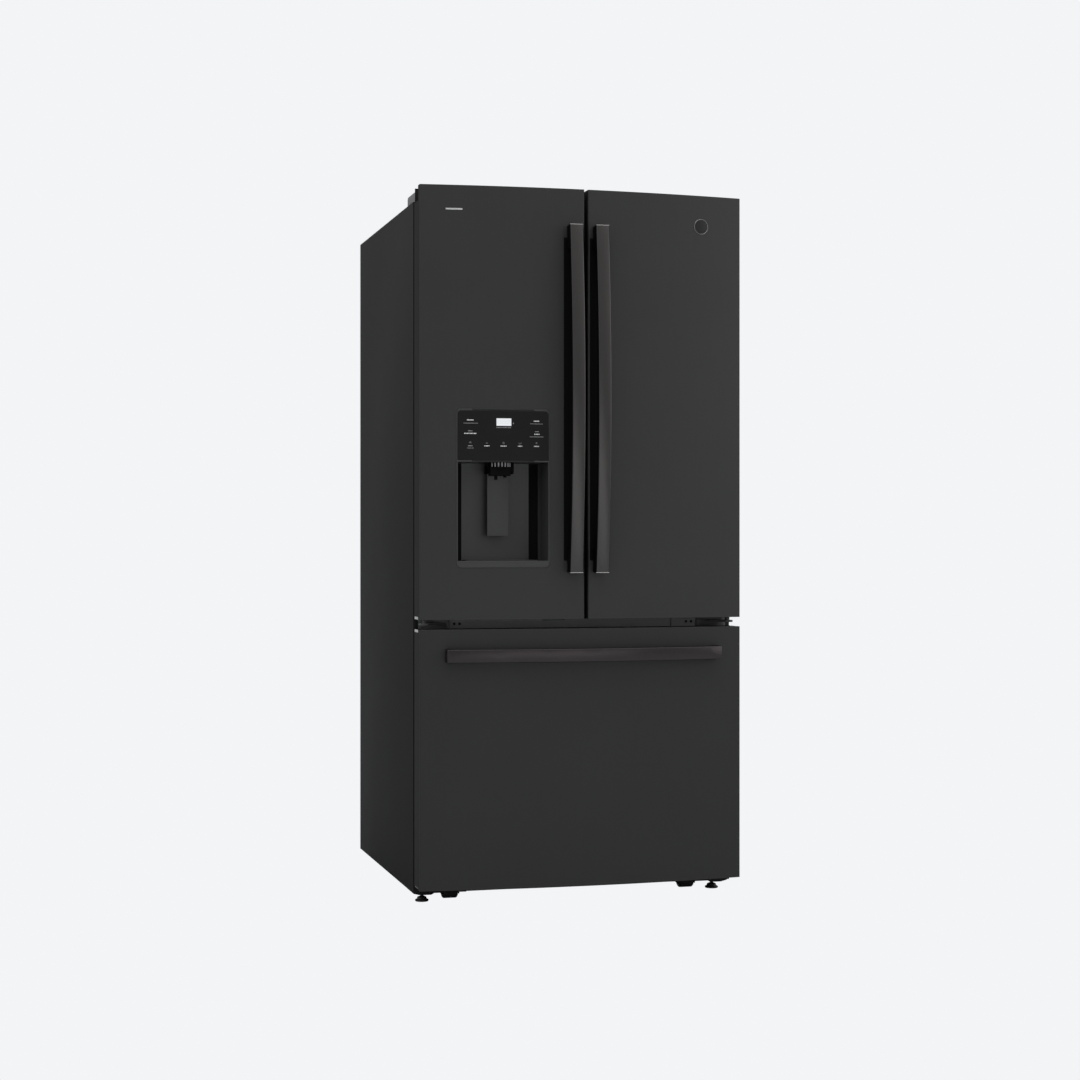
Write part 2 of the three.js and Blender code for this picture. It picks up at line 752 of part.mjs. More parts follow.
const flipperX = -dykeMiddle + 11;
const flipperY = caseFrontY + 10;
const flipperZ = inset(dykeZ, 8);
const flipperPin = 4;
const flipperEar = 4;

function leftDoorInnerPanel() {
  const pocket = prismZ(dispenserPlan(-fit, -40, housingBackY + fit), inset(housingZ, -fit));
  const bulge = box(inset(dykeX, 1), [doorBackY - 1, doorBackY + bulgeDepth], [
    dispenserBottom - bulgeBelow,
    dispenserTop + bulgeAbove,
  ]);
  const ears = [
    [flipperZ[0] - fit * 2 - flipperEar, flipperZ[0] - fit * 2],
    [flipperZ[1] + fit * 2, flipperZ[1] + fit * 2 + flipperEar],
  ].map((z) => box([-dykeMiddle - 5, flipperX + 8], [doorBackY + 20, flipperY + 8], z));
  const earHoles = rodZ(flipperPin + axleGap, [flipperX, flipperY], [dykeZ[0] - 20, dykeZ[1] + 20]);
  const body = join(panelBlock(doorX, doorZ, stepDrop), dyke(dykeX, dykeZ), bulge, ...ears);
  return cut(body, ...pinHoles(), pocket, earHoles);
}

function rightDoorInnerPanel() {
  return cut(join(panelBlock(doorX, doorZ, stepDrop), dyke(dykeX, dykeZ)), ...pinHoles());
}

function leftDoorSkin() {
  const radius = dispenserCorner + fit;
  const y = [apexY - 30, cornerY + 15];
  const hole = dispenserOutline(inset(housingX, -fit), inset(housingZ, -fit), radius, radius, y);
  return cut(skin(doorX, doorZ, stepDrop, notchHeight), hole);
}

// At rest the bar is folded back, as it is whenever its door swings; its joint turns it across the gap.
function flipperMullion() {
  const thickness = 20;
  const reach = 82;
  const barX = [flipperX - thickness / 2, flipperX + thickness / 2 - fit];
  const bar = box(barX, [flipperY + 6, flipperY + reach], flipperZ);
  const neck = box([flipperX - 5, flipperX + 5], [flipperY - 4, flipperY + 8], inset(flipperZ, 2));
  const pinEnds = inset(flipperZ, -flipperEar);
  return join(bar, neck, rodZ(flipperPin, [flipperX, flipperY], pinEnds));
}

const leftBinRoom = [dispenserTop + bulgeAbove, dykeZ[1] - dykeWidth];
const leftBinBottom = leftBinRoom[0] + (leftBinRoom[1] - leftBinRoom[0] - binHeight) * leftBinPlace;

function doorBin(bottom) {
  const x = inset(inset(dykeX, dykeWidth), 2);
  return tub(x, [doorBackY + 4 + fit, doorBackY + binReach], [bottom, bottom + binHeight]);
}

place("left_door_skin", leftDoorSkin(), look.slate);
place("left_door_inner_panel", leftDoorInnerPanel(), look.whitePlastic);
place("right_door_skin", skin(doorX, doorZ, stepDrop, notchHeight), look.slate, right);
place("right_door_inner_panel", rightDoorInnerPanel(), look.whitePlastic, right);
place("left_door_gasket", gasket(doorX, doorSealZ), look.rubber);
place("right_door_gasket", gasket(doorX, doorSealZ), look.rubber, right);
place("left_door_handle", doorHandle(), look.handle);
place("right_door_handle", doorHandle(), look.handle, right);
place("dispenser_housing", dispenserHousing(), look.blackPlastic);
place("control_panel", controlPanel(), look.blackGlass);
place("dispenser_nozzle", dispenserNozzle(), look.blackPlastic);
place("dispenser_paddle", dispenserPaddle(), look.blackPlastic);
place("drip_tray", dripTray(), look.blackPlastic);
place("flipper_mullion", flipperMullion(), look.blackPlastic);
place("left_door_bin", doorBin(leftBinBottom), look.clearPlastic);
place("right_door_bin_lower", doorBin(shelfLevels.cover + 20), look.clearPlastic, right);
place("right_door_bin_middle", doorBin(shelfLevels.middle + 20), look.clearPlastic, right);
place("right_door_bin_upper", doorBin(shelfLevels.upper + 20), look.clearPlastic, right);

// ---------------------------------------------------------------- inside the fresh food compartment
const freshInside = freshHalf - 3;
const iceMakerX = [-freshInside, -freshInside + iceMakerWidth];
const iceMakerY = [doorBackY + iceMakerFront, doorBackY + iceMakerFront + iceMakerDepth];
const iceMakerZ = [shelfLevels.upper, freshCeiling - 3];
const bucketRoof = shelfLevels.upper + 150;

function shelf(x, level) {
  return box(x, shelfY, [level - shelfWall, level]);
}

// The drawer tub's front stands a little higher, with a pull along its top edge.
function crisper() {
  const x = [-freshInside, -4];
  const y = [doorBackY + crisperFront, freshBackY - 12];
  const z = [freshFloor + crisperLift, freshFloor + crisperLift + crisperHeight];
  const pull = box([x[0] + 90, x[1] - 90], [y[0] - 10, y[0] + 1], [z[1] - 14, z[1] - 4]);
  return join(tub(x, y, z), pull);
}

function iceMaker() {
  return cut(
    box(iceMakerX, iceMakerY, iceMakerZ),
    box(inset(iceMakerX, 6), [iceMakerY[0] - 5, iceMakerY[1] - 20], [iceMakerZ[0] + 6, bucketRoof]),
  );
}

function iceBucket() {
  const x = inset(iceMakerX, 6 + 2);
  const bottom = iceMakerZ[0] + 6 + fit;
  const tray = tub(x, [iceMakerY[0] + 1, iceMakerY[1] - 40], [bottom, bucketRoof - 12]);
  const front = box(x, [iceMakerY[0] - 4, iceMakerY[0] + 3], [bottom, bucketRoof - 3]);
  const grip = box([x[0] + 50, x[1] - 50], [iceMakerY[0] - 14, iceMakerY[0] - 3], [bottom + 60, bottom + 72]);
  return join(tray, front, grip);
}

place("shelf_upper", shelf([iceMakerX[1] + 5, freshInside], shelfLevels.upper), look.glass);
place("shelf_middle", shelf([-freshInside, freshInside], shelfLevels.middle), look.glass);
place("crisper_cover", shelf([-freshInside, freshInside], shelfLevels.cover), look.glass);
placePair("crisper", crisper(), look.clearPlastic);
place("ice_maker", iceMaker(), look.whitePlastic);
place("ice_bucket", iceBucket(), look.clearPlastic);

// ---------------------------------------------------------------- freezer drawer
const drawerX = [-half, half];
const drawerZ = [drawerBottom, drawerTop];
const drawerDykeX = [-freezerHalf + 12, freezerHalf - 12];
const drawerDykeZ = inset([freezerFloor, freezerCeiling], dykeGap);
const drawerDykeDepth = 26;
const runnerStart = doorBackY + drawerDykeDepth + runnerGap;
const slideZ = [freezerFloor + railRise, freezerFloor + railRise + railHeight];
const slideY = [runnerStart, freezerStepY - 4];
const barX = [-freezerHalf + 4, -freezerHalf + 26];
const barY = [doorBackY + drawerDykeDepth + fit, freezerStepY - 8];
const basketHalf = freezerHalf - 29;
const basketY = [runnerStart, freezerStepY - 20];
const frameZ = inset(slideZ, railWall + 1.5);
const rimHeight = 4;
const upperBasketDepth = 320;
const upperBasketHeight = 150;
const basketZ = [freezerFloor + 13, frameZ[1] + fit + rimHeight];

function drawerInnerPanel() {
  const ridge = cut(
    box(drawerDykeX, [doorBackY - 1, doorBackY + drawerDykeDepth], drawerDykeZ),
    box(inset(drawerDykeX, 40), [doorBackY + 8, doorBackY + drawerDykeDepth + 5], inset(drawerDykeZ, 40)),
  );
  return join(panelBlock(drawerX, drawerZ, notchHeight - fit), ridge);
}

function drawerHandle() {
  const length = width - 2 * drawerHandleInset;
  const x0 = -length / 2;
  const z1 = drawerTop - drawerHandleDrop;
  const points = [];
  const steps = 20;
  const sag = drawerHandleReach;
  const frontY = (x) => apexY - sag + (crownY(x0) - handleEndReach - apexY + sag) * (x / x0) ** 2;
  const skinAt = (x) => crownY(x) - fit;
  for (let i = 0; i <= steps; i += 1) {
    const x = x0 + (length * i) / steps;
    points.push([x, frontY(x)]);
  }
  points.push([-x0, skinAt(-x0 - drawerHandlePost)]);
  points.push([-x0 - drawerHandlePost, skinAt(-x0 - drawerHandlePost)]);
  for (let i = 0; i <= steps; i += 1) {
    const x = -x0 - drawerHandlePost - ((length - 2 * drawerHandlePost) * i) / steps;
    points.push([x, frontY(x) + handleWall]);
  }
  points.push([x0 + drawerHandlePost, skinAt(x0 + drawerHandlePost)]);
  points.push([x0, skinAt(x0 + drawerHandlePost)]);
  return prismZ(points, [z1 - handleWidth, z1]);
}

function drawerFrame() {
  const bars = [barX, mirrored(barX)].map((x) => box(x, barY, frameZ));
  const rear = box([barX[0] + 2, -barX[0] - 2], [barY[1] - 12, barY[1]], inset(frameZ, 4));
  return join(...bars, rear);
}

// A channel on the freezer's side wall, open towards the middle.
function cabinetRail() {
  const x = [-freezerHalf + fit, -freezerHalf + railDepth];
  return cut(
    box(x, slideY, slideZ),
    box([x[0] + railWall, x[1] + 5], [slideY[0] - 5, slideY[1] + 5], inset(slideZ, railWall)),
  );
}

function lowerBasket() {
  const x = [-basketHalf, basketHalf];
  const rim = box(inset(x, -13), basketY, [basketZ[1] - rimHeight, basketZ[1]]);
  const body = box(x, [basketY[0], basketY[1] - 16], basketZ);
  const hollow = box(inset(x, binWall), [basketY[0] + binWall, basketY[1] - 16 - binWall], [
    basketZ[0] + binWall,
    basketZ[1] + 5,
  ]);
  return cut(join(body, rim), hollow);
}

function upperBasket() {
  const x = [-freezerHalf + 21, freezerHalf - 21];
  const bottom = basketZ[1] + 1.5;
  const front = runnerStart + 12;
  return tub(x, [front, front + upperBasketDepth], [bottom, bottom + upperBasketHeight]);
}

function evaporatorCover() {
  const x = [-freezerHalf + 2, freezerHalf - 2];
  const y = [freezerBackY - 70, freezerBackY - 66];
  const sheet = box(x, y, [freezerStepZ + 2, freezerCeiling - 2]);
  const slots = [];
  for (let i = 0; i < 6; i += 1) {
    const z = freezerCeiling - 40 - i * 14;
    slots.push(box([-150, 150], [y[0] - 5, y[1] + 5], [z, z + 6]));
  }
  return cut(sheet, ...slots);
}

place("drawer_skin", skin(drawerX, drawerZ, notchHeight, notchHeight - 2), look.slate);
place("drawer_inner_panel", drawerInnerPanel(), look.whitePlastic);
place("drawer_gasket", gasket(drawerX, inset(drawerZ, gasketInset)), look.rubber);
place("drawer_handle", drawerHandle(), look.handle);
place("drawer_frame", drawerFrame(), look.zinc);
placePair("cabinet_rail", cabinetRail(), look.zinc);
place("freezer_basket_lower", lowerBasket(), look.clearPlastic);
place("freezer_basket_upper", upperBasket(), look.clearPlastic);
place("evaporator_cover", evaporatorCover(), look.whitePlastic);

// ---------------------------------------------------------------- feet and rollers
const studRadius = 4;
const bracketZ = [caseBottom - fit - 2.5, caseBottom - fit];

function levellingLeg() {
  const profile = [
    [0, 0],
    [footRadius - 1, 0],
    [footRadius, 1.5],
    [footRadius, 4],
    [footRadius - 4, 6],
    [footRadius - 6, 11],
    [studRadius + 2, 13],
    [studRadius, 14],
    [studRadius, wellTop - 14],
    [0, wellTop - 14],
  ].map(([r, z]) => new THREE.Vector2(r, z));
  return new THREE.LatheGeometry(profile, 24).rotateX(Math.PI / 2).translate(-legX, legY, 0);
}

function roller(tread, axleHalf, y, z) {
  const shoulder = 3;
  const profile = [
    [0, -axleHalf],
    [axleRadius, -axleHalf],
    [axleRadius, -tread / 2],
    [rollerRadius - shoulder, -tread / 2],
    [rollerRadius, -tread / 2 + shoulder],
    [rollerRadius, tread / 2 - shoulder],
    [rollerRadius - shoulder, tread / 2],
    [axleRadius, tread / 2],
    [axleRadius, axleHalf],
    [0, axleHalf],
  ].map(([r, u]) => new THREE.Vector2(r, u));
  return new THREE.LatheGeometry(profile, 28).rotateZ(Math.PI / 2).translate(-rollerX, y, z);
}

// One pressing under each front corner carries the roller and the levelling leg.
function frontBracket() {
  const cheekGap = frontRollerWidth / 2 + 1.5;
  const cheekZ = [frontAxleZ - 10, bracketTop];
  const cheekY = [frontRollerY - 16, frontRollerY + 16];
  const cheeks = [-rollerX - cheekGap - bracketWall, -rollerX + cheekGap].map((x0) =>
    box([x0, x0 + bracketWall], cheekY, cheekZ),
  );
  const roof = box([-rollerX - cheekGap - bracketWall, -rollerX + cheekGap + bracketWall], cheekY, [
    bracketTop - bracketWall,
    bracketTop,
  ]);
  const plate = cut(
    prismY(
      [
        [-half + 3, bracketZ[1]],
        [-half + 3, bracketZ[0]],
        [-legX - 12, bracketZ[0] - 4],
        [-legX + 16, bracketZ[0] - 4],
        [-legX + 24, bracketZ[0]],
        [-rollerX + cheekGap + 14, bracketZ[0]],
        [-rollerX + cheekGap + 14, bracketZ[1]],
      ],
      [caseFrontY + 8, frontRollerY + 40],
    ),
    box([-rollerX - cheekGap, -rollerX + cheekGap], wellY, [0, caseBottom + 5]),
  );
  const axleHole = rodX(axleRadius + axleGap, [-rollerX - 40, -rollerX + 40], [frontRollerY, frontAxleZ]);
  const studHole = rodZ(studRadius + axleGap, [-legX, legY], [0, wellTop]);
  return cut(join(plate, roof, ...cheeks), axleHole, studHole);
}

placePair("levelling_leg", levellingLeg(), look.blackSteel);
placePair("front_bracket", frontBracket(), look.blackSteel);
const frontRoller = roller(frontRollerWidth, frontAxleHalf, frontRollerY, frontAxleZ);
const rearRoller = roller(rearRollerWidth, rearAxleHalf, rearRollerY, rollerRadius);
placePair("front_roller", frontRoller, look.blackPlastic);
placePair("rear_roller", rearRoller, look.blackPlastic);

// ---------------------------------------------------------------- machine compartment
const machineY = (machineFrontY + caseBackY) / 2;
const fanX = 10;
const fanZ = 125;
const fanHub = 20;
const compressorFootHalf = 95;
const compressorX = -rollerX + rearAxleHalf + 1 + compressorFootHalf;

function compressor() {
  const profile = [
    [0, 38],
    [58, 38],
    [80, 58],
    [84, 100],
    [84, 112],
    [80, 160],
    [56, 192],
    [0, 200],
  ].map(([r, z]) => new THREE.Vector2(r, z));
  const shell = new THREE.LatheGeometry(profile, 28).rotateX(Math.PI / 2).translate(compressorX, machineY, 0);
  const feet = [-1, 1].map((side) =>
    box(
      [compressorX - compressorFootHalf, compressorX + compressorFootHalf],
      [machineY + side * 55 - 12, machineY + side * 55 + 12],
      [caseBottom + panWall + fit, 44],
    ),
  );
  return join(shell, ...feet);
}

function condenserCoil() {
  const x = [70, 262];
  const y = [machineY - 80, machineY + 80];
  const z0 = caseBottom + panWall + fit;
  const gaps = [];
  for (let i = 0; i < 15; i += 1) {
    const x0 = x[0] + 8 + i * 12;
    gaps.push(box([x0, x0 + 9], [y[0] - 5, y[1] + 5], [z0 + 16, 190]));
    gaps.push(box([x0, x0 + 9], [y[0] - 5, y[1] + 5], [200, 240]));
  }
  const block = cut(box(x, y, [z0, 210]), ...gaps);
  const motor = rodX(18, [fanX + 24, x[0] + 1], [machineY, fanZ]);
  return join(block, motor, rodX(4, [fanX + 6, fanX + 30], [machineY, fanZ], 16));
}

function condenserFan() {
  const blades = 5;
  const hub = rodX(fanHub, [fanX - 14, fanX + 14], [machineY, fanZ]);
  const wings = [];
  for (let i = 0; i < blades; i += 1) {
    const wing = new THREE.BoxGeometry(2.5, 42, 60).rotateZ(0.6).translate(0, 0, fanHub + 26);
    wings.push(wing.rotateX((2 * Math.PI * i) / blades).translate(fanX, machineY, fanZ));
  }
  const bore = rodX(4 + axleGap, [fanX + 4, fanX + 20], [machineY, fanZ], 16);
  return cut(join(hub, ...wings), bore);
}

place("compressor", compressor(), look.copperBlack);
place("condenser_coil", condenserCoil(), look.copperBlack);
place("condenser_fan", condenserFan(), look.blackPlastic);

export default fridge;
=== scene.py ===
import json
import math

import bmesh
import bpy
from mathutils import Matrix, Vector


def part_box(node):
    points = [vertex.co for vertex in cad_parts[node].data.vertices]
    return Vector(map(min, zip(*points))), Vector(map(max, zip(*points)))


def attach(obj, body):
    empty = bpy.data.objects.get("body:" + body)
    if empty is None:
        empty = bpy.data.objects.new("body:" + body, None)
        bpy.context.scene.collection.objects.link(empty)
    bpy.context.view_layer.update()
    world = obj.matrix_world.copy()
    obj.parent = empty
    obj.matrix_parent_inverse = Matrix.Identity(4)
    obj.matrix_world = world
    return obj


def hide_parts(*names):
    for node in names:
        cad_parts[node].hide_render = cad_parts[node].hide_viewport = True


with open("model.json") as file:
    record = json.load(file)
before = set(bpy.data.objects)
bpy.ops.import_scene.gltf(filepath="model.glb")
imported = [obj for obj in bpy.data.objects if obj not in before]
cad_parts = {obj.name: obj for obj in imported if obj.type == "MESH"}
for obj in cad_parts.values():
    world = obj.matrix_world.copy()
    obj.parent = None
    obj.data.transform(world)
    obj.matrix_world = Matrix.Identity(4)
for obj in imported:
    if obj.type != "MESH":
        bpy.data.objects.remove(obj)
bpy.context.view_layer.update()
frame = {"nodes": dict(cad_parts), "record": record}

record = frame["record"]
home = {node: body for body, nodes in record["behaviour"]["bodies"].items() for node in nodes}
slot_of = {part["node"]: part["material_slot"] for part in record["subparts"]}
MM = 0.001
SIDES = (("left", -1), ("right", 1))
BACKDROP = (0.896, 0.905, 0.922, 1)


def low_of(node):
    return Vector(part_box(node)[0])


def high_of(node):
    return Vector(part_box(node)[1])


def middle_of(node):
    return (low_of(node) + high_of(node)) / 2


# ------------------------------------------------------------------ places and sizes of the main parts
half_width = high_of("drawer_skin").x
apex_y = low_of("drawer_skin").y
crown = 28 * MM
crown_radius = (half_width**2 + crown**2) / (2 * crown)
corner_y = apex_y + crown
door_back_y = high_of("left_door_skin").y
lip_depth = 20 * MM
door_step = 37 * MM
notch = 7.5 * MM
skin_wall = 1.2 * MM
liner_wall = 2.5 * MM
panel_proud = 1 * MM
case_low, case_high = low_of("cabinet_wrap"), high_of("cabinet_wrap")
fresh_low, fresh_high = low_of("fresh_food_liner"), high_of("fresh_food_liner")
freezer_low, freezer_high = low_of("freezer_liner"), high_of("freezer_liner")


def front_y(x):
    """The crowned fronts' y at x."""
    return apex_y + crown_radius - math.sqrt(crown_radius**2 - x * x)


def on_front(x, z, proud=0.0):
    """Turns and moves a small piece from the origin to the crowned front, where its own -Y looks out."""
    out = Matrix.Rotation(math.asin(x / crown_radius), 4, "Z")
    return Matrix.Translation((x, front_y(x), z)) @ out @ Matrix.Translation((0, -proud, 0))


# ------------------------------------------------------------------ shader sums
def set_stops(ramp, stops):
    """Sets a colour ramp's stops. A new ramp already has two."""
    for i, (place, color) in enumerate(stops):
        stop = ramp.elements[i] if i < 2 else ramp.elements.new(place)
        stop.position = place
        stop.color = (*color, 1.0)


class Wire:
    """A socket that carries a number or a vector, with arithmetic."""

    def __init__(self, finish, socket):
        self.finish = finish
        self.socket = socket

    def sum(self, operation, a, b):
        return self.finish.node("ShaderNodeMath", {"operation": operation}, {0: a, 1: b})

    def __add__(self, other):
        return self.sum("ADD", self, other)

    def __sub__(self, other):
        return self.sum("SUBTRACT", self, other)

    def __rsub__(self, other):
        return self.sum("SUBTRACT", other, self)

    def __mul__(self, other):
        return self.sum("MULTIPLY", self, other)

    __radd__ = __add__
    __rmul__ = __mul__


class Finish:
    """One material: a Principled shader, with helpers for what feeds it."""

    def __init__(self, name, color, roughness, metallic=0.0, **constants):
        self.color = (*color, 1.0)
        self.roughness = roughness
        self.material = bpy.data.materials.new(name)
        self.material.use_nodes = True
        self.tree = self.material.node_tree
        self.shader = self.tree.nodes["Principled BSDF"]
        self.set("Base Color", self.color)
        self.set("Roughness", roughness)
        self.set("Metallic", metallic)
        for socket, value in constants.items():
            self.set(socket.replace("_", " "), value)

    def set(self, socket, value):
        if isinstance(value, Wire):
            self.tree.links.new(value.socket, self.shader.inputs[socket])
        else:
            self.shader.inputs[socket].default_value = value
        return self

    def node(self, kind, settings=None, values=None, output=0):
        made = self.tree.nodes.new(kind)
        for key, value in (settings or {}).items():
            if key == "stops":
                set_stops(made.color_ramp, value)
            else:
                setattr(made, key, value)
        for key, value in (values or {}).items():
            if isinstance(value, Wire):
                self.tree.links.new(value.socket, made.inputs[key])
            else:
                made.inputs[key].default_value = value
        return Wire(self, made.outputs[output])

    def point(self, scale=(1.0, 1.0, 1.0)):
        here = self.node("ShaderNodeTexCoord", output="Object")
        return self.node("ShaderNodeVectorMath", {"operation": "MULTIPLY"}, {0: here, 1: scale})

    def noise(self, scale, detail=3.0, stretch=(1.0, 1.0, 1.0), roughness=0.55):
        values = {"Vector": self.point(stretch), "Scale": scale, "Detail": detail, "Roughness": roughness}
        return self.node("ShaderNodeTexNoise", values=values)

    def cells(self, scale, output="Distance"):
        values = {"Vector": self.point(), "Scale": scale}
        return self.node("ShaderNodeTexVoronoi", values=values, output=output)

    def shades(self, share, dark, light):
        """Base colour between two multiples of the finish's own colour, by share."""
        ends = [tuple(min(1.0, c * k) for c in self.color[:3]) for k in (dark, light)]
        stops = {"stops": [(0.25, ends[0]), (0.75, ends[1])]}
        return self.set("Base Color", self.node("ShaderNodeValToRGB", stops, {0: share}))

    def rough(self, share, spread):
        return self.set("Roughness", self.roughness + (share - 0.5) * spread)

    def bump(self, height, depth, strength=0.5):
        values = {"Height": height, "Distance": depth, "Strength": strength}
        return self.set("Normal", self.node("ShaderNodeBump", values=values))


def brushed(name, color, roughness, metallic, along, depth=0.004 * MM, spread=0.08, **constants):
    """Metal brushed along one axis: long fine grain, and slow clouds in its gloss."""
    made = Finish(name, color, roughness, metallic, **constants)
    fine = {"X": (9.0, 500.0, 500.0), "Y": (500.0, 9.0, 500.0), "Z": (500.0, 500.0, 9.0)}[along]
    grain = made.noise(1.0, 4.0, fine, 0.7)
    clouds = made.noise(5.0, 3.0)
    made.shades(grain * 0.6 + clouds * 0.4, 0.93, 1.07)
    made.rough(grain * 0.6 + clouds * 0.4, spread)
    return made.bump(grain, depth, 0.3)


def moulded(name, color, roughness, grain=1400.0, depth=0.01 * MM, **constants):
    """Moulded plastic: a fine spark texture, and faint clouds of colour and gloss."""
    made = Finish(name, color, roughness, **constants)
    clouds = made.noise(9.0, 4.0)
    sparks = made.noise(grain, 2.0)
    made.shades(clouds, 0.95, 1.04)
    made.rough(clouds * 0.6 + sparks * 0.4, 0.1)
    return made.bump(sparks, depth, 0.3)


def painted(name, color, roughness, pebble=900.0, **constants):
    """Paint on steel, with a small pebbled texture."""
    made = Finish(name, color, roughness, **constants)
    pebbles = made.cells(pebble)
    clouds = made.noise(4.0, 3.0)
    made.shades(clouds * 0.7 + pebbles * 0.3, 0.93, 1.06)
    made.rough(clouds, 0.08)
    return made.bump(pebbles, 0.02 * MM, 0.3)


def clear(name, color, thin, edge, roughness):
    """Clear sheet that is denser where it is seen edge on, with faint flow lines."""
    made = Finish(name, color, roughness, IOR=1.49)
    facing = made.node("ShaderNodeLayerWeight", values={"Blend": 0.35}, output="Facing")
    clouds = made.noise(12.0, 3.0)
    made.shades(clouds, 0.97, 1.02)
    made.rough(clouds, 0.06)
    made.set("Alpha", thin + facing * edge + (clouds - 0.5) * 0.05)
    return made.bump(clouds, 0.1 * MM, 0.1)


def rubber(name, color, roughness):
    made = Finish(name, color, roughness, Specular_IOR_Level=0.3)
    dust = made.noise(60.0, 5.0)
    made.shades(dust, 0.85, 1.2)
    made.rough(dust, 0.1)
    return made.bump(made.noise(1800.0, 2.0), 0.02 * MM, 0.4)


def galvanised(name, color, roughness):
    """Zinc spangle: flat crystals, each with its own brightness."""
    made = Finish(name, color, roughness, 1.0)
    crystals = made.cells(90.0, output="Color")
    clouds = made.noise(30.0, 4.0)
    bright = made.node("ShaderNodeSeparateColor", values={0: crystals}) * 0.7 + clouds * 0.3
    made.shades(bright, 0.8, 1.12)
    made.rough(bright, 0.2)
    return made.bump(clouds, 0.03 * MM, 0.2)


def foamed(name, color):
    made = Finish(name, color, 0.9)
    made.shades(made.noise(15.0, 4.0), 0.85, 1.1)
    return made.bump(made.cells(500.0), 0.2 * MM, 0.6)


def lit_display():
    """A pale display: faint rows behind its lens, and a glow of its own."""
    made = Finish("display_face", (0.6, 0.62, 0.63), 0.25)
    faint_rows = made.noise(1.0, 2.0, (8.0, 8.0, 900.0))
    made.shades(faint_rows, 0.94, 1.05)
    stops = {"stops": [(0.2, (0.86, 0.88, 0.9)), (0.8, (0.96, 0.97, 0.98))]}
    made.set("Emission Color", made.node("ShaderNodeValToRGB", stops, {0: faint_rows}))
    return made.set("Emission Strength", 0.35)


slate = brushed("slate_steel", (0.041, 0.041, 0.0405), 0.46, 0.45, "Z", Specular_IOR_Level=0.25)
# The drawer front takes a darker copy of the doors' steel: painted shade.
slate_shaded_drawer = brushed(
    "slate_steel_drawer_shaded", (0.034, 0.034, 0.0336), 0.46, 0.45, "Z", Specular_IOR_Level=0.25)
side_paint = painted("side_paint", (0.0165, 0.0165, 0.016), 0.6, Specular_IOR_Level=0.06)
back_paint = painted("back_paint", (0.028, 0.028, 0.028), 0.55)
rail_paint = painted("rail_paint", (0.21, 0.21, 0.208), 0.5)
hinge_paint = painted("hinge_paint", (0.07, 0.07, 0.07), 0.42, 1500.0)
dark_handle = brushed("handle_metal", (0.075, 0.072, 0.07), 0.26, 0.92, "Z", 0.002 * MM, 0.05)
drawer_handle_metal = brushed(
    "drawer_handle_metal", (0.052, 0.046, 0.048), 0.26, 0.92, "X", 0.002 * MM, 0.05)
# Near-black paint: a painted dark reflection on the handles' side faces, and painted shadow and reflection
# on the strips behind the handles.
handle_shade = painted("handle_shade", (0.003, 0.003, 0.003), 0.5, Specular_IOR_Level=0.05)
handle_edge = brushed("handle_edge", (0.4, 0.39, 0.38), 0.22, 1.0, "X", 0.002 * MM, 0.05)
white_liner = moulded("white_liner", (0.74, 0.75, 0.76), 0.32, 700.0, 0.01 * MM)
white_trim = moulded("white_trim", (0.8, 0.81, 0.82), 0.25)
cap_grey = moulded("cap_grey", (0.13, 0.13, 0.132), 0.5)
cap_light = moulded("cap_light", (0.5, 0.5, 0.505), 0.45)
cover_grey = moulded("cover_grey", (0.16, 0.16, 0.163), 0.5, 900.0, 0.03 * MM)
black_plastic = moulded("black_plastic", (0.012, 0.012, 0.0125), 0.4, 1000.0, 0.02 * MM)
recess_plastic = moulded("recess_plastic", (0.03, 0.03, 0.0302), 0.38, 1000.0, 0.01 * MM)
# Near-black: the nozzle's own plastic and the screws' grooves, and also painted shade in the recess's back
# corners and in the freezer fan's opening.
nozzle_and_shade_black = moulded(
    "nozzle_and_shade_black", (0.003, 0.003, 0.003), 0.6, 1000.0, Specular_IOR_Level=0.05)
black_panel = moulded(
    "black_panel", (0.007, 0.007, 0.0074), 0.14, 2000.0, 0.001 * MM, Specular_IOR_Level=0.3)
black_paint = painted("black_paint", (0.008, 0.008, 0.008), 0.5, 1500.0, Specular_IOR_Level=0.15)
print_white = moulded("print_white", (0.85, 0.85, 0.85), 0.5, 2000.0)
print_dim = moulded("print_dim", (0.36, 0.36, 0.36), 0.5, 2000.0)
badge_metal = brushed("badge_metal", (0.2, 0.2, 0.2), 0.25, 1.0, "X", 0.002 * MM)
badge_dark = brushed("badge_dark", (0.02, 0.02, 0.02), 0.3, 0.6, "X", 0.002 * MM)
name_metal = brushed("name_metal", (0.72, 0.72, 0.72), 0.3, 0.8, "X", 0.002 * MM)
trim_metal = brushed("trim_metal", (0.62, 0.63, 0.64), 0.28, 1.0, "X")
display_face = lit_display()
seal_grey = rubber("seal_grey", (0.05, 0.05, 0.052), 0.62)
tyre_black = rubber("tyre_black", (0.02, 0.02, 0.02), 0.7)
zinc = galvanised("zinc", (0.55, 0.56, 0.57), 0.38)
steel_bright = brushed("bright_steel", (0.5, 0.5, 0.51), 0.3, 1.0, "Z")
coil_black = painted("coil_black", (0.014, 0.014, 0.015), 0.4)
copper = brushed("copper_tube", (0.72, 0.36, 0.22), 0.3, 1.0, "Z")
clear_bin = clear("clear_bin", (0.83, 0.88, 0.9), 0.16, 0.55, 0.08)
frosted_bin = clear("frosted_bin", (0.86, 0.89, 0.9), 0.62, 0.3, 0.3)
shelf_glass = clear("shelf_glass", (0.72, 0.85, 0.83), 0.14, 0.7, 0.04)
lamp_lens = moulded("lamp_lens", (0.9, 0.92, 0.93), 0.2)
foam = foamed("foam", (0.72, 0.6, 0.32))


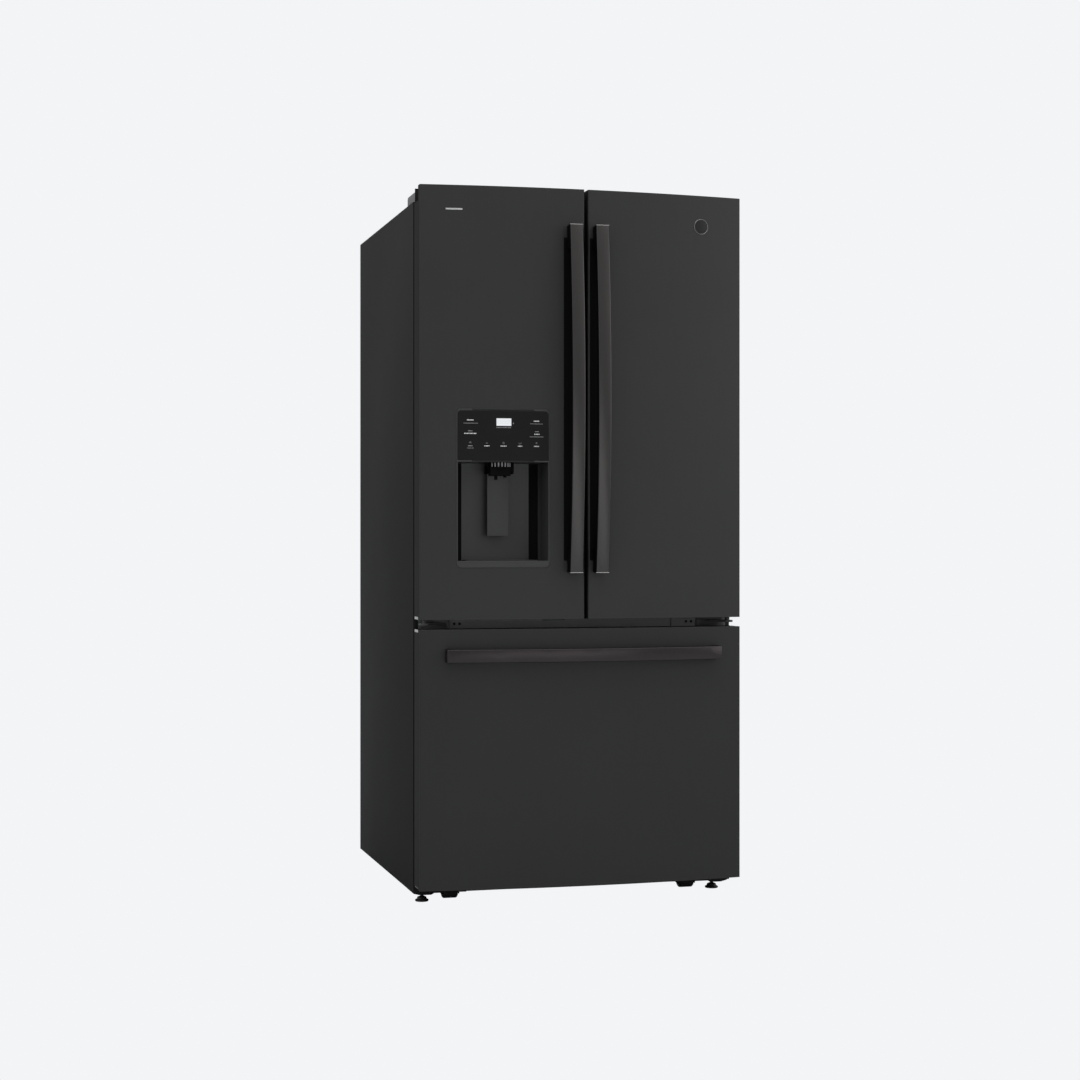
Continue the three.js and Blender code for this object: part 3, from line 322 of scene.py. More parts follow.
# ------------------------------------------------------------------ mesh helpers
def settle(obj, body, finish):
    """Gives a finished piece its material and its body."""
    if finish is not None:
        obj.data.materials.clear()
        obj.data.materials.append(finish.material)
    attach(obj, body)
    return obj


def object_from(name, bm):
    mesh = bpy.data.meshes.new(name)
    for face in bm.faces:
        face.smooth = True
    bm.to_mesh(mesh)
    bm.free()
    obj = bpy.data.objects.new(name, mesh)
    bpy.context.scene.collection.objects.link(obj)
    return obj


def soften(obj, width, segments=2, angle=30.0):
    """Rounds the piece's sharp edges."""
    edge = obj.modifiers.new("soft_edges", "BEVEL")
    edge.width = width
    edge.segments = segments
    edge.limit_method = "ANGLE"
    edge.angle_limit = math.radians(angle)
    edge.harden_normals = True
    return obj


def plain(obj):
    """Applies a piece's modifiers, or turns a curve into a mesh. The name stays."""
    name = obj.name
    if name not in bpy.context.scene.collection.objects:
        bpy.context.scene.collection.objects.link(obj)
    graph = bpy.context.evaluated_depsgraph_get()
    mesh = bpy.data.meshes.new_from_object(obj.evaluated_get(graph))
    bpy.data.objects.remove(obj)
    made = bpy.data.objects.new(name, mesh)
    for face in mesh.polygons:
        face.use_smooth = True
    bpy.context.scene.collection.objects.link(made)
    return made


def merged_copy(node):
    bm = bmesh.new()
    bm.from_mesh(frame["nodes"][node].data)
    bmesh.ops.remove_doubles(bm, verts=bm.verts, dist=0.01 * MM)
    bmesh.ops.dissolve_limit(bm, angle_limit=math.radians(0.2), verts=bm.verts, edges=bm.edges)
    return bm


def stand_for(obj, node, finish):
    settle(obj, home[node], finish)
    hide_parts(node)
    return obj


def refined(node, finish, width=0.8 * MM, segments=2, angle=30.0):
    """A finer copy of a part: whole faces in place of triangles, and rounded edges."""
    obj = object_from(node + "_finished", merged_copy(node))
    return stand_for(soften(obj, width, segments, angle), node, finish)


def paint(obj, finish, test):
    """Gives the faces that pass the test another finish. The test gets a face's centre and normal."""
    obj.data.materials.append(finish.material)
    index = len(obj.data.materials) - 1
    for face in obj.data.polygons:
        if test(face.center, face.normal):
            face.material_index = index


def add_block(bm, low, high, matrix=None):
    made = bmesh.ops.create_cube(bm, size=1.0)
    low, high = Vector(low), Vector(high)
    for vert in made["verts"]:
        vert.co = (low + high) / 2 + Vector(c * s for c, s in zip(vert.co, high - low))
        if matrix is not None:
            vert.co = matrix @ vert.co


def blocks(name, spans, finish, body, width=0.6 * MM, segments=2):
    """One piece made of separate blocks, each given by its lowest and highest corner."""
    bm = bmesh.new()
    for low, high in spans:
        add_block(bm, low, high)
    return settle(soften(object_from(name, bm), width, segments), body, finish)


def prism(points, low, high, axis="Y"):
    """A closed outline, in (x, z) along Y or in (x, y) along Z, drawn out from low to high."""

    def place(point, level):
        return (point[0], point[1], level) if axis == "Z" else (point[0], level, point[1])

    bm = bmesh.new()
    rings = [[bm.verts.new(place(point, level)) for point in points] for level in (low, high)]
    for i in range(len(points)):
        j = (i + 1) % len(points)
        bm.faces.new([rings[0][i], rings[0][j], rings[1][j], rings[1][i]])
    bm.faces.new(rings[0])
    bm.faces.new(rings[1])
    bmesh.ops.recalc_face_normals(bm, faces=bm.faces)
    return bm


def round_outline(x, z, radii, steps=8):
    """A rectangle's outline. Its four radii run from the right top corner, by the left top one, round."""
    corners = [(x[1], z[1], -1, -1), (x[0], z[1], 1, -1), (x[0], z[0], 1, 1), (x[1], z[0], -1, 1)]
    points = []
    for quarter, ((cx, cz, sx, sz), radius) in enumerate(zip(corners, radii)):
        mid_x, mid_z = cx + sx * radius, cz + sz * radius
        turns = steps if radius > 0 else 0
        for i in range(turns + 1):
            t = math.pi / 2 * (quarter + (i / turns if turns else 0))
            points.append((mid_x + radius * math.cos(t), mid_z + radius * math.sin(t)))
    return points


def cut_with(obj, tools, operation="DIFFERENCE"):
    """Cuts or trims a piece with other meshes, which are used up."""
    helpers = [object_from("cutter", tool) for tool in tools]
    for helper in helpers:
        step = obj.modifiers.new("cut", "BOOLEAN")
        step.object = helper
        step.operation = operation
        step.solver = "EXACT"
    made = plain(obj)
    for helper in helpers:
        bpy.data.objects.remove(helper)
    return made


def block_mesh(low, high):
    bm = bmesh.new()
    add_block(bm, low, high)
    return bm


def turned_mesh(profile, sides=48):
    """A turned shape about Z. Its profile's points are (radius, height) in mm, and it closes on itself."""
    bm = bmesh.new()
    turns = [2 * math.pi * i / sides for i in range(sides)]
    rings = []
    for radius, height in profile:
        r, z = radius * MM, height * MM
        spots = [(r * math.cos(t), r * math.sin(t), z) for t in turns] if radius else [(0, 0, z)]
        rings.append([bm.verts.new(spot) for spot in spots])
    closed = rings if profile[0][0] == 0 else rings + [rings[0]]
    for a, b in zip(closed, closed[1:]):
        for i in range(sides):
            j = (i + 1) % sides
            corners = [a[i % len(a)], a[j % len(a)], b[j % len(b)], b[i % len(b)]]
            bm.faces.new(list(dict.fromkeys(corners)))
    bmesh.ops.recalc_face_normals(bm, faces=bm.faces)
    return bm


def turned(name, profile, centre, out, finish, sides=48):
    """A turned piece of the cabinet that stands on centre, with its heights measured along out."""
    bm = turned_mesh(profile, sides)
    turn = Vector((0, 0, 1)).rotation_difference(Vector(out)).to_matrix().to_4x4()
    bm.transform(Matrix.Translation(centre) @ turn)
    settle(soften(object_from(name, bm), 0.4 * MM, 2, 35.0), "cabinet", finish)


def tube(name, points, radius):
    """A bent copper tube through the points, with its ends closed."""
    curve = bpy.data.curves.new(name, "CURVE")
    curve.dimensions = "3D"
    curve.bevel_depth = radius
    curve.bevel_resolution = 3
    curve.use_fill_caps = True
    spline = curve.splines.new("BEZIER")
    spline.bezier_points.add(len(points) - 1)
    for spot, point in zip(spline.bezier_points, points):
        spot.co = point
        spot.handle_left_type = spot.handle_right_type = "AUTO"
    settle(plain(bpy.data.objects.new(name, curve)), "cabinet", copper)


# ------------------------------------------------------------------ what repeats
class Tree:
    """A geometry nodes tree with named inputs, which sets out like pieces in a straight row."""

    def __init__(self, name, sockets):
        self.tree = bpy.data.node_groups.new(name, "GeometryNodeTree")
        self.tree.interface.new_socket("Geometry", in_out="OUTPUT", socket_type="NodeSocketGeometry")
        self.keys = {}
        places = {"Count": "Int", "First": "Vector", "Step": "Vector", "Size": "Vector", "Turn": "Vector"}
        for label, kind in {**places, **sockets}.items():
            socket = self.tree.interface.new_socket(label, in_out="INPUT", socket_type="NodeSocket" + kind)
            self.keys[label] = socket.identifier
        self.given = self.tree.nodes.new("NodeGroupInput")

    def add(self, kind, values=None):
        node = self.tree.nodes.new(kind)
        for key, value in (values or {}).items():
            if isinstance(value, str):
                value = self.given.outputs[value]
            if isinstance(value, bpy.types.NodeSocket):
                self.tree.links.new(value, node.inputs[key])
            else:
                node.inputs[key].default_value = value
        return node.outputs[0] if len(node.outputs) else None

    def coloured(self, shape, finish):
        return self.add("GeometryNodeSetMaterial", {"Geometry": shape, "Material": finish})

    def lay_out(self, shape, finish=None):
        """Gives the shape its size and its turn, and sets out the copies, in one finish if it is given."""
        places = {"Count": "Count", "Start Location": "First", "Offset": "Step"}
        line = self.add("GeometryNodeMeshLine", places)
        line.node.mode = "OFFSET"
        sized = self.add("GeometryNodeTransform", {"Geometry": shape, "Scale": "Size"})
        placed = self.add("GeometryNodeTransform", {"Geometry": sized, "Rotation": "Turn"})
        copies = self.add("GeometryNodeInstanceOnPoints", {"Points": line, "Instance": placed})
        real = self.add("GeometryNodeRealizeInstances", {"Geometry": copies})
        self.add("NodeGroupOutput", {0: self.coloured(real, finish) if finish else real})
        return self

    def make(self, name, values, body, slot, width):
        source = bpy.data.objects.new(name, bpy.data.meshes.new(name))
        step = source.modifiers.new("pieces", "NODES")
        step.node_group = self.tree
        for label, value in values.items():
            if isinstance(value, Finish):
                step[self.keys[label]] = value.material
            elif isinstance(value, int):
                step[self.keys[label]] = value
            else:
                step[self.keys[label]] = tuple(float(v) for v in value)
        settle(soften(plain(source), width, 1), body, None)


def row_tree():
    """A row of blocks."""
    made = Tree("row_of_pieces", {"Finish": "Material"})
    return made.lay_out(made.add("GeometryNodeMeshCube"), "Finish")


def screw_tree():
    """A row of cross-slot screw heads: each is a low drum with two dark grooves over it."""
    made = Tree("row_of_screws", {"Finish": "Material", "Groove": "Material"})
    drum = made.add("GeometryNodeMeshCylinder", {"Vertices": 16, "Radius": 0.5, "Depth": 1.0})
    parts = [made.coloured(drum, "Finish")]
    for size in ((0.62, 0.14, 1.06), (0.14, 0.62, 1.06)):
        parts.append(made.coloured(made.add("GeometryNodeMeshCube", {"Size": size}), "Groove"))
    joined = made.add("GeometryNodeJoinGeometry")
    for part in reversed(parts):
        made.tree.links.new(part, joined.node.inputs[0])
    return made.lay_out(joined)


rows = row_tree()
screw_rows = screw_tree()
UPRIGHT = (0.0, 0.0, 0.0)
FACING_FRONT = (math.pi / 2, 0.0, 0.0)


def row(name, count, first, step, size, finish, body, slot, width=0.2 * MM):
    """Like blocks in a row, as one mesh: ribs, slats, vents, lugs."""
    values = {"Count": count, "First": first, "Step": step, "Size": size, "Turn": UPRIGHT, "Finish": finish}
    rows.make(name, values, body, slot, width)


def screws(name, count, first, step, slot, turn=FACING_FRONT, head=8 * MM, height=1 * MM,
           finish=steel_bright):
    """Screw heads in a row on the cabinet."""
    values = {"Count": count, "First": first, "Step": step, "Size": (head, head, height), "Turn": turn}
    finishes = {"Finish": finish, "Groove": nozzle_and_shade_black}
    screw_rows.make(name, {**values, **finishes}, "cabinet", slot, 0.1 * MM)


# ------------------------------------------------------------------ camera, lights, floor
def make_camera():
    """Level, a little above the middle of the object, turned to see its left side."""
    data = bpy.data.cameras.new("camera")
    data.lens = 67.59
    data.clip_end = 60.0
    camera = bpy.data.objects.new("camera", data)
    camera.location = (-1.4118, corner_y - 4.8613, 0.905)
    camera.rotation_euler = (math.radians(90), 0, math.radians(-14.973))
    bpy.context.scene.collection.objects.link(camera)
    bpy.context.scene.camera = camera


def make_light(name, place, target, size, power):
    data = bpy.data.lights.new(name, "AREA")
    data.shape = "RECTANGLE"
    data.size, data.size_y = size
    data.energy = power
    light = bpy.data.objects.new(name, data)
    light.location = place
    light.rotation_euler = (Vector(target) - Vector(place)).to_track_quat("-Z", "Y").to_euler()
    bpy.context.scene.collection.objects.link(light)


def make_world():
    """An even pale room: softer light from the height of the eye, more from above."""
    world = bpy.data.worlds.new("studio")
    bpy.context.scene.world = world
    world.use_nodes = True
    tree = world.node_tree
    new, link = tree.nodes.new, tree.links.new
    tree.nodes.clear()
    split = new("ShaderNodeSeparateXYZ")
    ramp = new("ShaderNodeValToRGB")
    levels = [(0.0, 0.34), (0.5, 0.3), (0.62, 0.5), (0.85, 0.8)]
    set_stops(ramp.color_ramp, [(place, (v, v, v * 1.01)) for place, v in levels])
    upward = new("ShaderNodeMath")
    upward.operation = "MULTIPLY_ADD"
    upward.inputs[1].default_value = 0.5
    upward.inputs[2].default_value = 0.5
    room = new("ShaderNodeBackground")
    seen = new("ShaderNodeBackground")
    seen.inputs["Color"].default_value = BACKDROP
    mix = new("ShaderNodeMixShader")
    link(new("ShaderNodeTexCoord").outputs["Generated"], split.inputs[0])
    link(split.outputs["Z"], upward.inputs[0])
    link(upward.outputs[0], ramp.inputs[0])
    link(ramp.outputs[0], room.inputs["Color"])
    link(new("ShaderNodeLightPath").outputs["Is Camera Ray"], mix.inputs[0])
    link(room.outputs[0], mix.inputs[1])
    link(seen.outputs[0], mix.inputs[2])
    link(mix.outputs[0], new("ShaderNodeOutputWorld").inputs[0])


def make_floor():
    """A pale floor that runs into the backdrop without an edge."""
    bm = bmesh.new()
    bmesh.ops.create_circle(bm, cap_ends=True, segments=96, radius=30.0)
    floor = object_from("floor", bm)
    pale = Finish("floor_paint", (0.62, 0.63, 0.65), 0.85, Specular_IOR_Level=0.1)
    pale.shades(pale.noise(2.0), 0.995, 1.005)
    glow = pale.tree.nodes.new("ShaderNodeEmission")
    glow.inputs["Color"].default_value = BACKDROP
    mix = pale.tree.nodes.new("ShaderNodeMixShader")
    seen = pale.node("ShaderNodeLightPath", output="Is Camera Ray")
    pale.tree.links.new(seen.socket, mix.inputs[0])
    pale.tree.links.new(pale.shader.outputs[0], mix.inputs[1])
    pale.tree.links.new(glow.outputs[0], mix.inputs[2])
    pale.tree.links.new(mix.outputs[0], pale.tree.nodes["Material Output"].inputs[0])
    floor.data.materials.append(pale.material)


# ------------------------------------------------------------------ fronts
def crowned_outline(x0, x1, back, by=0.0, radius=4 * MM, steps=72, offset=0.0):
    """Plan of a crowned front with its back at one y, all moved in by `by`."""
    a, b = x0 + by, x1 - by
    turns = 6 if radius > 0 else 0
    angles = [math.pi / 2 * (i / turns if turns else 1) for i in range(turns + 1)]
    corner = [(radius * (1 - math.cos(t)), radius * (1 - math.sin(t))) for t in angles]
    left = [(a + dx, front_y(a + radius) + by + dy + offset) for dx, dy in corner]
    right = [(b - dx, front_y(b - radius) + by + dy + offset) for dx, dy in reversed(corner)]
    across = [a + radius + (b - a - 2 * radius) * i / steps for i in range(1, steps)]
    face = [(x, front_y(x) + by + offset) for x in across]
    return [(a, back), *left, *face, *right, (b, back)]


def front_skin(node, finish, top_notch, end_notch, holes=()):
    """The folded steel front: a crowned face with two side returns that stop short at the ends."""
    low, high = low_of(node), high_of(node)
    outer = crowned_outline(low.x, high.x, door_back_y)
    inner = crowned_outline(low.x, high.x, door_back_y, skin_wall)
    shell = object_from(node + "_finished", prism(outer + inner[::-1], low.z, high.z, "Z"))
    y = (corner_y + lip_depth, door_back_y + 10 * MM)
    past = 5 * MM
    top = block_mesh((low.x - past, y[0], high.z - top_notch), (high.x + past, y[1], high.z + past))
    end = block_mesh((low.x - past, y[0], low.z - past), (high.x + past, y[1], low.z + end_notch))
    shell = stand_for(soften(cut_with(shell, [top, end, *holes]), 0.45 * MM, 2, 40.0), node, finish)
    paint(shell, side_paint, lambda c, n: abs(n.x) > 0.9 and c.y > corner_y + 3 * MM)


def inner_panel(node):
    """White towards the compartment, dark on the sides, and grey caps across the top and the bottom."""
    panel = refined(node, white_liner, 2.0 * MM, 3)
    side_end, cap_end = door_back_y + 0.2 * MM, door_back_y - 1 * MM
    behind_lip = corner_y + lip_depth - 1 * MM
    paint(panel, side_paint, lambda c, n: c.y < side_end and abs(n.x) > 0.8)
    paint(panel, cap_grey, lambda c, n: c.y < cap_end and (abs(n.z) > 0.8 or c.y > behind_lip))


def back_flange(part):
    """The folded steel edge on a door's back, outside its seal."""
    low, high = low_of(part + "_inner_panel"), high_of(part + "_inner_panel")
    seal_low, seal_high = low_of(part + "_gasket"), high_of(part + "_gasket")
    y = (door_back_y - 0.1 * MM, door_back_y + 0.25 * MM)
    spans = [
        ((low.x, y[0], low.z), (seal_low.x, y[1], high.z)),
        ((seal_high.x, y[0], low.z), (high.x, y[1], high.z)),
        ((seal_low.x, y[0], low.z), (seal_high.x, y[1], seal_low.z)),
        ((seal_low.x, y[0], seal_high.z), (seal_high.x, y[1], high.z)),
    ]
    blocks(part + "_back_flange", spans, side_paint, home[part + "_gasket"], 0.1 * MM, 1)


def corner_caps():
    """Light plastic ends that show where the steel stops short at the side notches."""
    y = (corner_y + lip_depth + 1 * MM, door_back_y - 2 * MM)
    door, drawer = low_of("left_door_skin").z, high_of("drawer_skin").z - notch
    for name, side in SIDES:
        x = sorted((side * (half_width - 1.8 * MM), side * (half_width - 0.4 * MM)))
        for body, z in ((f"{name}_door", door), ("freezer_drawer", drawer)):
            span = [((x[0], y[0], z + 0.4 * MM), (x[1], y[1], z + notch - 0.4 * MM))]
            blocks(f"{body}_corner_cap_{name}", span, cap_light, body, 0.2 * MM)


def door_handles():
    for side, _ in SIDES:
        node, body = f"{side}_door_handle", f"{side}_door"
        # The door handles' side faces take near-black paint: a painted dark reflection.
        paint(refined(node, dark_handle, 2.4 * MM, 4), handle_shade, lambda c, n: abs(n.x) > 0.8)
        low, high = low_of(node), high_of(node)
        y = (high.y - 30.3 * MM, high.y - 14 * MM)
        x = (low.x - 0.3 * MM, high.x + 0.3 * MM)
        ends = [((x[0], y[0], z - 0.4 * MM), (x[1], y[1], z + 1.4 * MM)) for z in (low.z, high.z - 1 * MM)]
        blocks(f"{side}_handle_end_trim", ends, handle_edge, body, 0.5 * MM)
        # A thin near-black strip on the door behind each handle: painted shadow and reflection of the
        # handle on the door.
        bm = bmesh.new()
        half = (high.x - low.x) / 2 + 5 * MM
        rise = (high.z - low.z) / 2 - 30 * MM
        place = on_front((low.x + high.x) / 2 - 3 * MM, (low.z + high.z) / 2)
        add_block(bm, (-half, -0.3 * MM, -rise), (half, 0.2 * MM, rise), place)
        strip = soften(object_from(f"{side}_handle_painted_shadow", bm), 0.1 * MM, 1)
        settle(strip, body, handle_shade)
    bar = refined("drawer_handle", drawer_handle_metal, 2.4 * MM, 4)
    # The drawer handle's top and bottom faces take near-black paint: painted shade.
    paint(bar, handle_shade, lambda c, n: abs(n.z) > 0.8)


def fronts():
    housing_low, housing_high = low_of("dispenser_housing"), high_of("dispenser_housing")
    gap = 0.3 * MM
    across = (housing_low.x - gap, housing_high.x + gap)
    up = (housing_low.z - gap, housing_high.z + gap)
    hole = prism(round_outline(across, up, [12.3 * MM] * 4), apex_y - 30 * MM, corner_y + 15 * MM)
    front_skin("left_door_skin", slate, door_step, notch, [hole])
    front_skin("right_door_skin", slate, door_step, notch)
    front_skin("drawer_skin", slate_shaded_drawer, notch, notch - 2 * MM)
    for part in ("left_door", "right_door", "drawer"):
        inner_panel(part + "_inner_panel")
        refined(part + "_gasket", seal_grey, 3 * MM, 3)
        back_flange(part)
    corner_caps()
    door_handles()


def medallion():
    """A plain round medallion: a thin raised ring about a dark face."""
    place = on_front(306.4 * MM, 1696.6 * MM)
    ring = [(17.6, -0.4), (19.6, -0.4), (19.6, 0.9), (19.0, 1.5), (18.2, 1.5), (17.6, 0.9)]
    face = [(0, -0.4), (17.5, -0.4), (17.5, 0.35), (9, 0.65), (0, 0.75)]
    for name, profile, finish in (("ring", ring, badge_metal), ("face", face, badge_dark)):
        bm = turned_mesh(profile, 64)
        bm.transform(place @ Matrix.Rotation(math.pi / 2, 4, "X"))
        piece = object_from("medallion_" + name, bm)
        settle(soften(piece, 0.15 * MM, 2, 35), "right_door", finish)


def name_bar():
    """A plain bright bar in place of a word."""
    bm = bmesh.new()
    place = on_front(-332.2 * MM, 1716 * MM)
    add_block(bm, (-20.5 * MM, -0.7 * MM, -2.0 * MM), (20.5 * MM, 0.3 * MM, 2.0 * MM), place)
    settle(soften(object_from("plain_name_bar", bm), 0.3 * MM), "left_door", name_metal)


# ------------------------------------------------------------------ dispenser
def mark(bm, x, z, width, height):
    """A thin printed bar on the control panel's crowned face."""
    low = (-width / 2, -0.12 * MM, -height / 2)
    add_block(bm, low, (width / 2, 0.05 * MM, height / 2), on_front(x, z, panel_proud))


def pictogram(bm, kind, x, z):
    """Small plain signs made of bars: a cup, a cube, chips, a lamp and a lock."""
    thin, w, h = 0.5 * MM, 5.2 * MM, 3.8 * MM
    if kind == "cup":
        bars = [(-w / 2, 0, thin, h), (w / 2, 0, thin, h), (0, -h / 2, w, thin)]
    elif kind == "cube":
        bars = [(-h / 2, 0, thin, h), (h / 2, 0, thin, h), (0, -h / 2, h, thin), (0, h / 2, h, thin)]
    elif kind == "chips":
        spots = ((-1, -1), (0, 1), (1, -1), (0, -1.2))
        bars = [(dx * 2 * MM, dz * MM, 1.1 * MM, 1.1 * MM) for dx, dz in spots]
    elif kind == "lamp":
        bars = [(0, 0.6 * MM, 2.2 * MM, 2.2 * MM), (0, -1.5 * MM, 1.4 * MM, thin)]
        bars += [(dx, 0.6 * MM, thin * 2, thin) for dx in (-w / 2, w / 2)]
    else:
        bars = [(dx, 0, thin, thin * 2) for dx in (-w / 2, w / 2)]
        bars += [(0, dz, w, thin) for dz in (0, h / 2)]
    for dx, dz, width, height in bars:
        mark(bm, x + dx, z + dz, width, height)


def dashes(bm, x, z, total, height, count):
    """A row of short bars in place of a word."""
    pitch = total / count
    for i in range(count):
        share = 0.78 if i % 3 else 0.6
        mark(bm, x - total / 2 + pitch * (i + 0.5), z, pitch * share, height)


def panel_marks(centre, top):
    """Signs over rows of dashes, in a bright and a dim print."""
    bold, dim = bmesh.new(), bmesh.new()
    pitch = 41.3 * MM
    for i, kind in enumerate(("lock", "chips", "cube", "cup", "lamp")):
        x = centre + (i - 2) * pitch
        pictogram(dim, kind, x, top - 83 * MM)
        dashes(bold if i else dim, x, top - 90.6 * MM, (12 + 2 * (i % 3)) * MM, 2.2 * MM, 4)
    left, right = centre - 2 * pitch, centre + 2 * pitch
    for bm, x, down, width, height, count in (
        (dim, left, 96, 17, 1.0, 6),
        (bold, left, 27.2, 17, 2.6, 5),
        (dim, left + 1 * MM, 35, 36, 1.2, 12),
        (dim, left, 54, 12, 1.8, 4),
        (bold, left, 60.2, 31, 2.4, 9),
        (bold, right, 28.6, 15, 2.8, 4),
        (dim, right, 35.2, 32, 1.2, 11),
        (dim, right + 1 * MM, 54.4, 11, 1.8, 4),
        (bold, right + 1 * MM, 60.8, 15, 2.6, 4),
        (dim, right, 67.2, 35, 1.4, 12),
        (dim, centre, 45.2, 38, 1.3, 9),
    ):
        dashes(bm, x, top - down * MM, width * MM, height * MM, count)
    mark(bold, centre + 24.5 * MM, top - 34.6 * MM, 1.6 * MM, 1.6 * MM)
    for name, bm, finish in (("bright", bold, print_white), ("dim", dim, print_dim)):
        settle(object_from("panel_marks_" + name, bm), "left_door", finish)


def housing_finish(low, high):
    """Black beside the panel and along the front rim, and painted shade: a dark band at the recess's back
    corners.
    """
    housing = refined("dispenser_housing", recess_plastic, 1.2 * MM, 3)
    centre = (low.x + high.x) / 2
    panel_end = high.z - 130 * MM
    rim_x = (high.x - low.x) / 2 - 12 * MM
    rim_y = corner_y + 5 * MM
    recess_back = corner_y + 66 * MM
    shade_band_y = recess_back - 14 * MM
    paint(housing, black_panel, lambda c, n: c.z > panel_end and n.y < -0.5 and c.y < rim_y)
    paint(housing, black_paint, lambda c, n: n.y < -0.5 and c.y < rim_y and abs(c.x - centre) > rim_x)
    # Painted shade: near-black on the recess's rounded back corners.
    paint(housing, nozzle_and_shade_black, lambda c, n: 0.08 < abs(n.x) < 0.98 and shade_band_y < c.y < recess_back)


def control_panel():
    """A crowned black plate, with its two upper corners rounded."""
    node = "control_panel"
    low, high = low_of(node), high_of(node)
    plan = crowned_outline(low.x, high.x, high.y, 0.0, 0.0, 48, -panel_proud)
    plate = object_from(node + "_finished", prism(plan, low.z, high.z, "Z"))
    outline = round_outline((low.x, high.x), (low.z, high.z), [8.7 * MM, 8.7 * MM, 0.0, 0.0])
    plate = cut_with(plate, [prism(outline, apex_y - 30 * MM, high.y + 30 * MM)], "INTERSECT")
    stand_for(soften(plate, 0.5 * MM, 2, 40), node, black_panel)


def nozzle():
    """The nozzle, with ribs round its front and a spout with two outlets."""
    node = "dispenser_nozzle"
    refined(node, nozzle_and_shade_black)
    top = high_of(node).z
    x, y = middle_of(node).x - 2.7 * MM, corner_y + 8 * MM
    reach = 29.0 * MM
    ribs = []
    for i in range(-3, 4):
        turn = math.radians(i * 17)
        rx, ry = x + reach * math.sin(turn), y - reach * math.cos(turn)
        low = (rx - 1.7 * MM, ry - 1.0 * MM, top - 11 * MM)
        ribs.append((low, (rx + 1.7 * MM, ry + 2 * MM, top - 0.4 * MM)))
    blocks("nozzle_ribs", ribs, cover_grey, "left_door", 0.5 * MM)
    spout = [
        ((x - 27 * MM, y - 18 * MM, top - 33 * MM), (x + 25 * MM, y + 4 * MM, top - 11.4 * MM)),
        ((x - 14 * MM, y - 12 * MM, top - 43 * MM), (x - 7 * MM, y - 3 * MM, top - 32 * MM)),
        ((x + 9 * MM, y - 12 * MM, top - 37 * MM), (x + 16 * MM, y - 3 * MM, top - 32 * MM)),
    ]
    blocks("nozzle_spout", spout, nozzle_and_shade_black, "left_door", 1.0 * MM)


def dispenser():
    low, high = low_of("dispenser_housing"), high_of("dispenser_housing")
    housing_finish(low, high)
    control_panel()
    centre = (low.x + high.x) / 2
    bm = bmesh.new()
    mark(bm, centre + 1 * MM, high.z - 31.6 * MM, 37 * MM, 18.4 * MM)
    settle(soften(object_from("display", bm), 0.05 * MM, 1), "left_door", display_face)
    panel_marks(centre, high.z)
    nozzle()
    refined("dispenser_paddle", recess_plastic, 1.0 * MM, 3)
    refined("drip_tray", black_plastic, 0.5 * MM)
    low, high = low_of("drip_tray"), high_of("drip_tray")
    first = (low.x + 9 * MM, (low.y + high.y) / 2, high.z - 1.4 * MM)
    size = (2.4 * MM, high.y - low.y - 8.4 * MM, 2.2 * MM)
    row("drip_tray_slats", 21, first, (8.2 * MM, 0, 0), size, black_plastic, "left_door", "black_plastic")


# ------------------------------------------------------------------ cabinet and hinges
def rail_details():
    """The centre rail's screws, a short upright dark mark, the doors' stop, and painted shadow: dark lines
    along the rail's top and bottom edges.
    """
    refined("centre_rail", rail_paint, 1.5 * MM, 3)
    low = low_of("centre_rail")
    for name, side in SIDES:
        first = (side * 312 * MM, low.y - 0.3 * MM, low.z + 38 * MM)
        step = (side * -14 * MM, 0, 0)
        screws(f"rail_screws_{name}", 2, first, step, "black_steel", head=7 * MM, finish=black_paint)
    y = (low.y - 0.25 * MM, low.y + 0.6 * MM)
    lower_shadow_line, upper_shadow_line = 681.6 * MM, 705.4 * MM
    under_upper_shadow = upper_shadow_line - 0.2 * MM
    marks = [((255.5 * MM, y[0], lower_shadow_line + 1.8 * MM), (258.5 * MM, y[1], under_upper_shadow))]
    # Painted shadow: two dark lines along the rail, under the doors and over the drawer.
    marks += [((-370 * MM, y[0], z), (370 * MM, y[1], z + 1.6 * MM)) for z in (lower_shadow_line, upper_shadow_line)]
    marks += [((-84 * MM, y[0], upper_shadow_line - 3 * MM), (-26 * MM, y[1], under_upper_shadow))]
    blocks("rail_shadow_lines_and_stop", marks, black_plastic, "cabinet", 0.15 * MM, 1)


def cabinet():
    insulation = frame["nodes"]["cabinet_insulation"].data.materials
    insulation.clear()
    insulation.append(foam.material)
    wrap = refined("cabinet_wrap", side_paint, 0.5 * MM)
    paint(wrap, black_paint, lambda c, n: abs(c.y - case_low.y) < 1.5 * MM and n.y < -0.9)
    refined("base_pan", zinc, 0.3 * MM)
    refined("fresh_food_liner", white_liner, 0.6 * MM)
    refined("freezer_liner", white_liner, 0.6 * MM)
    rail_details()
    foam_covers()
    back_panel()
    hinges()


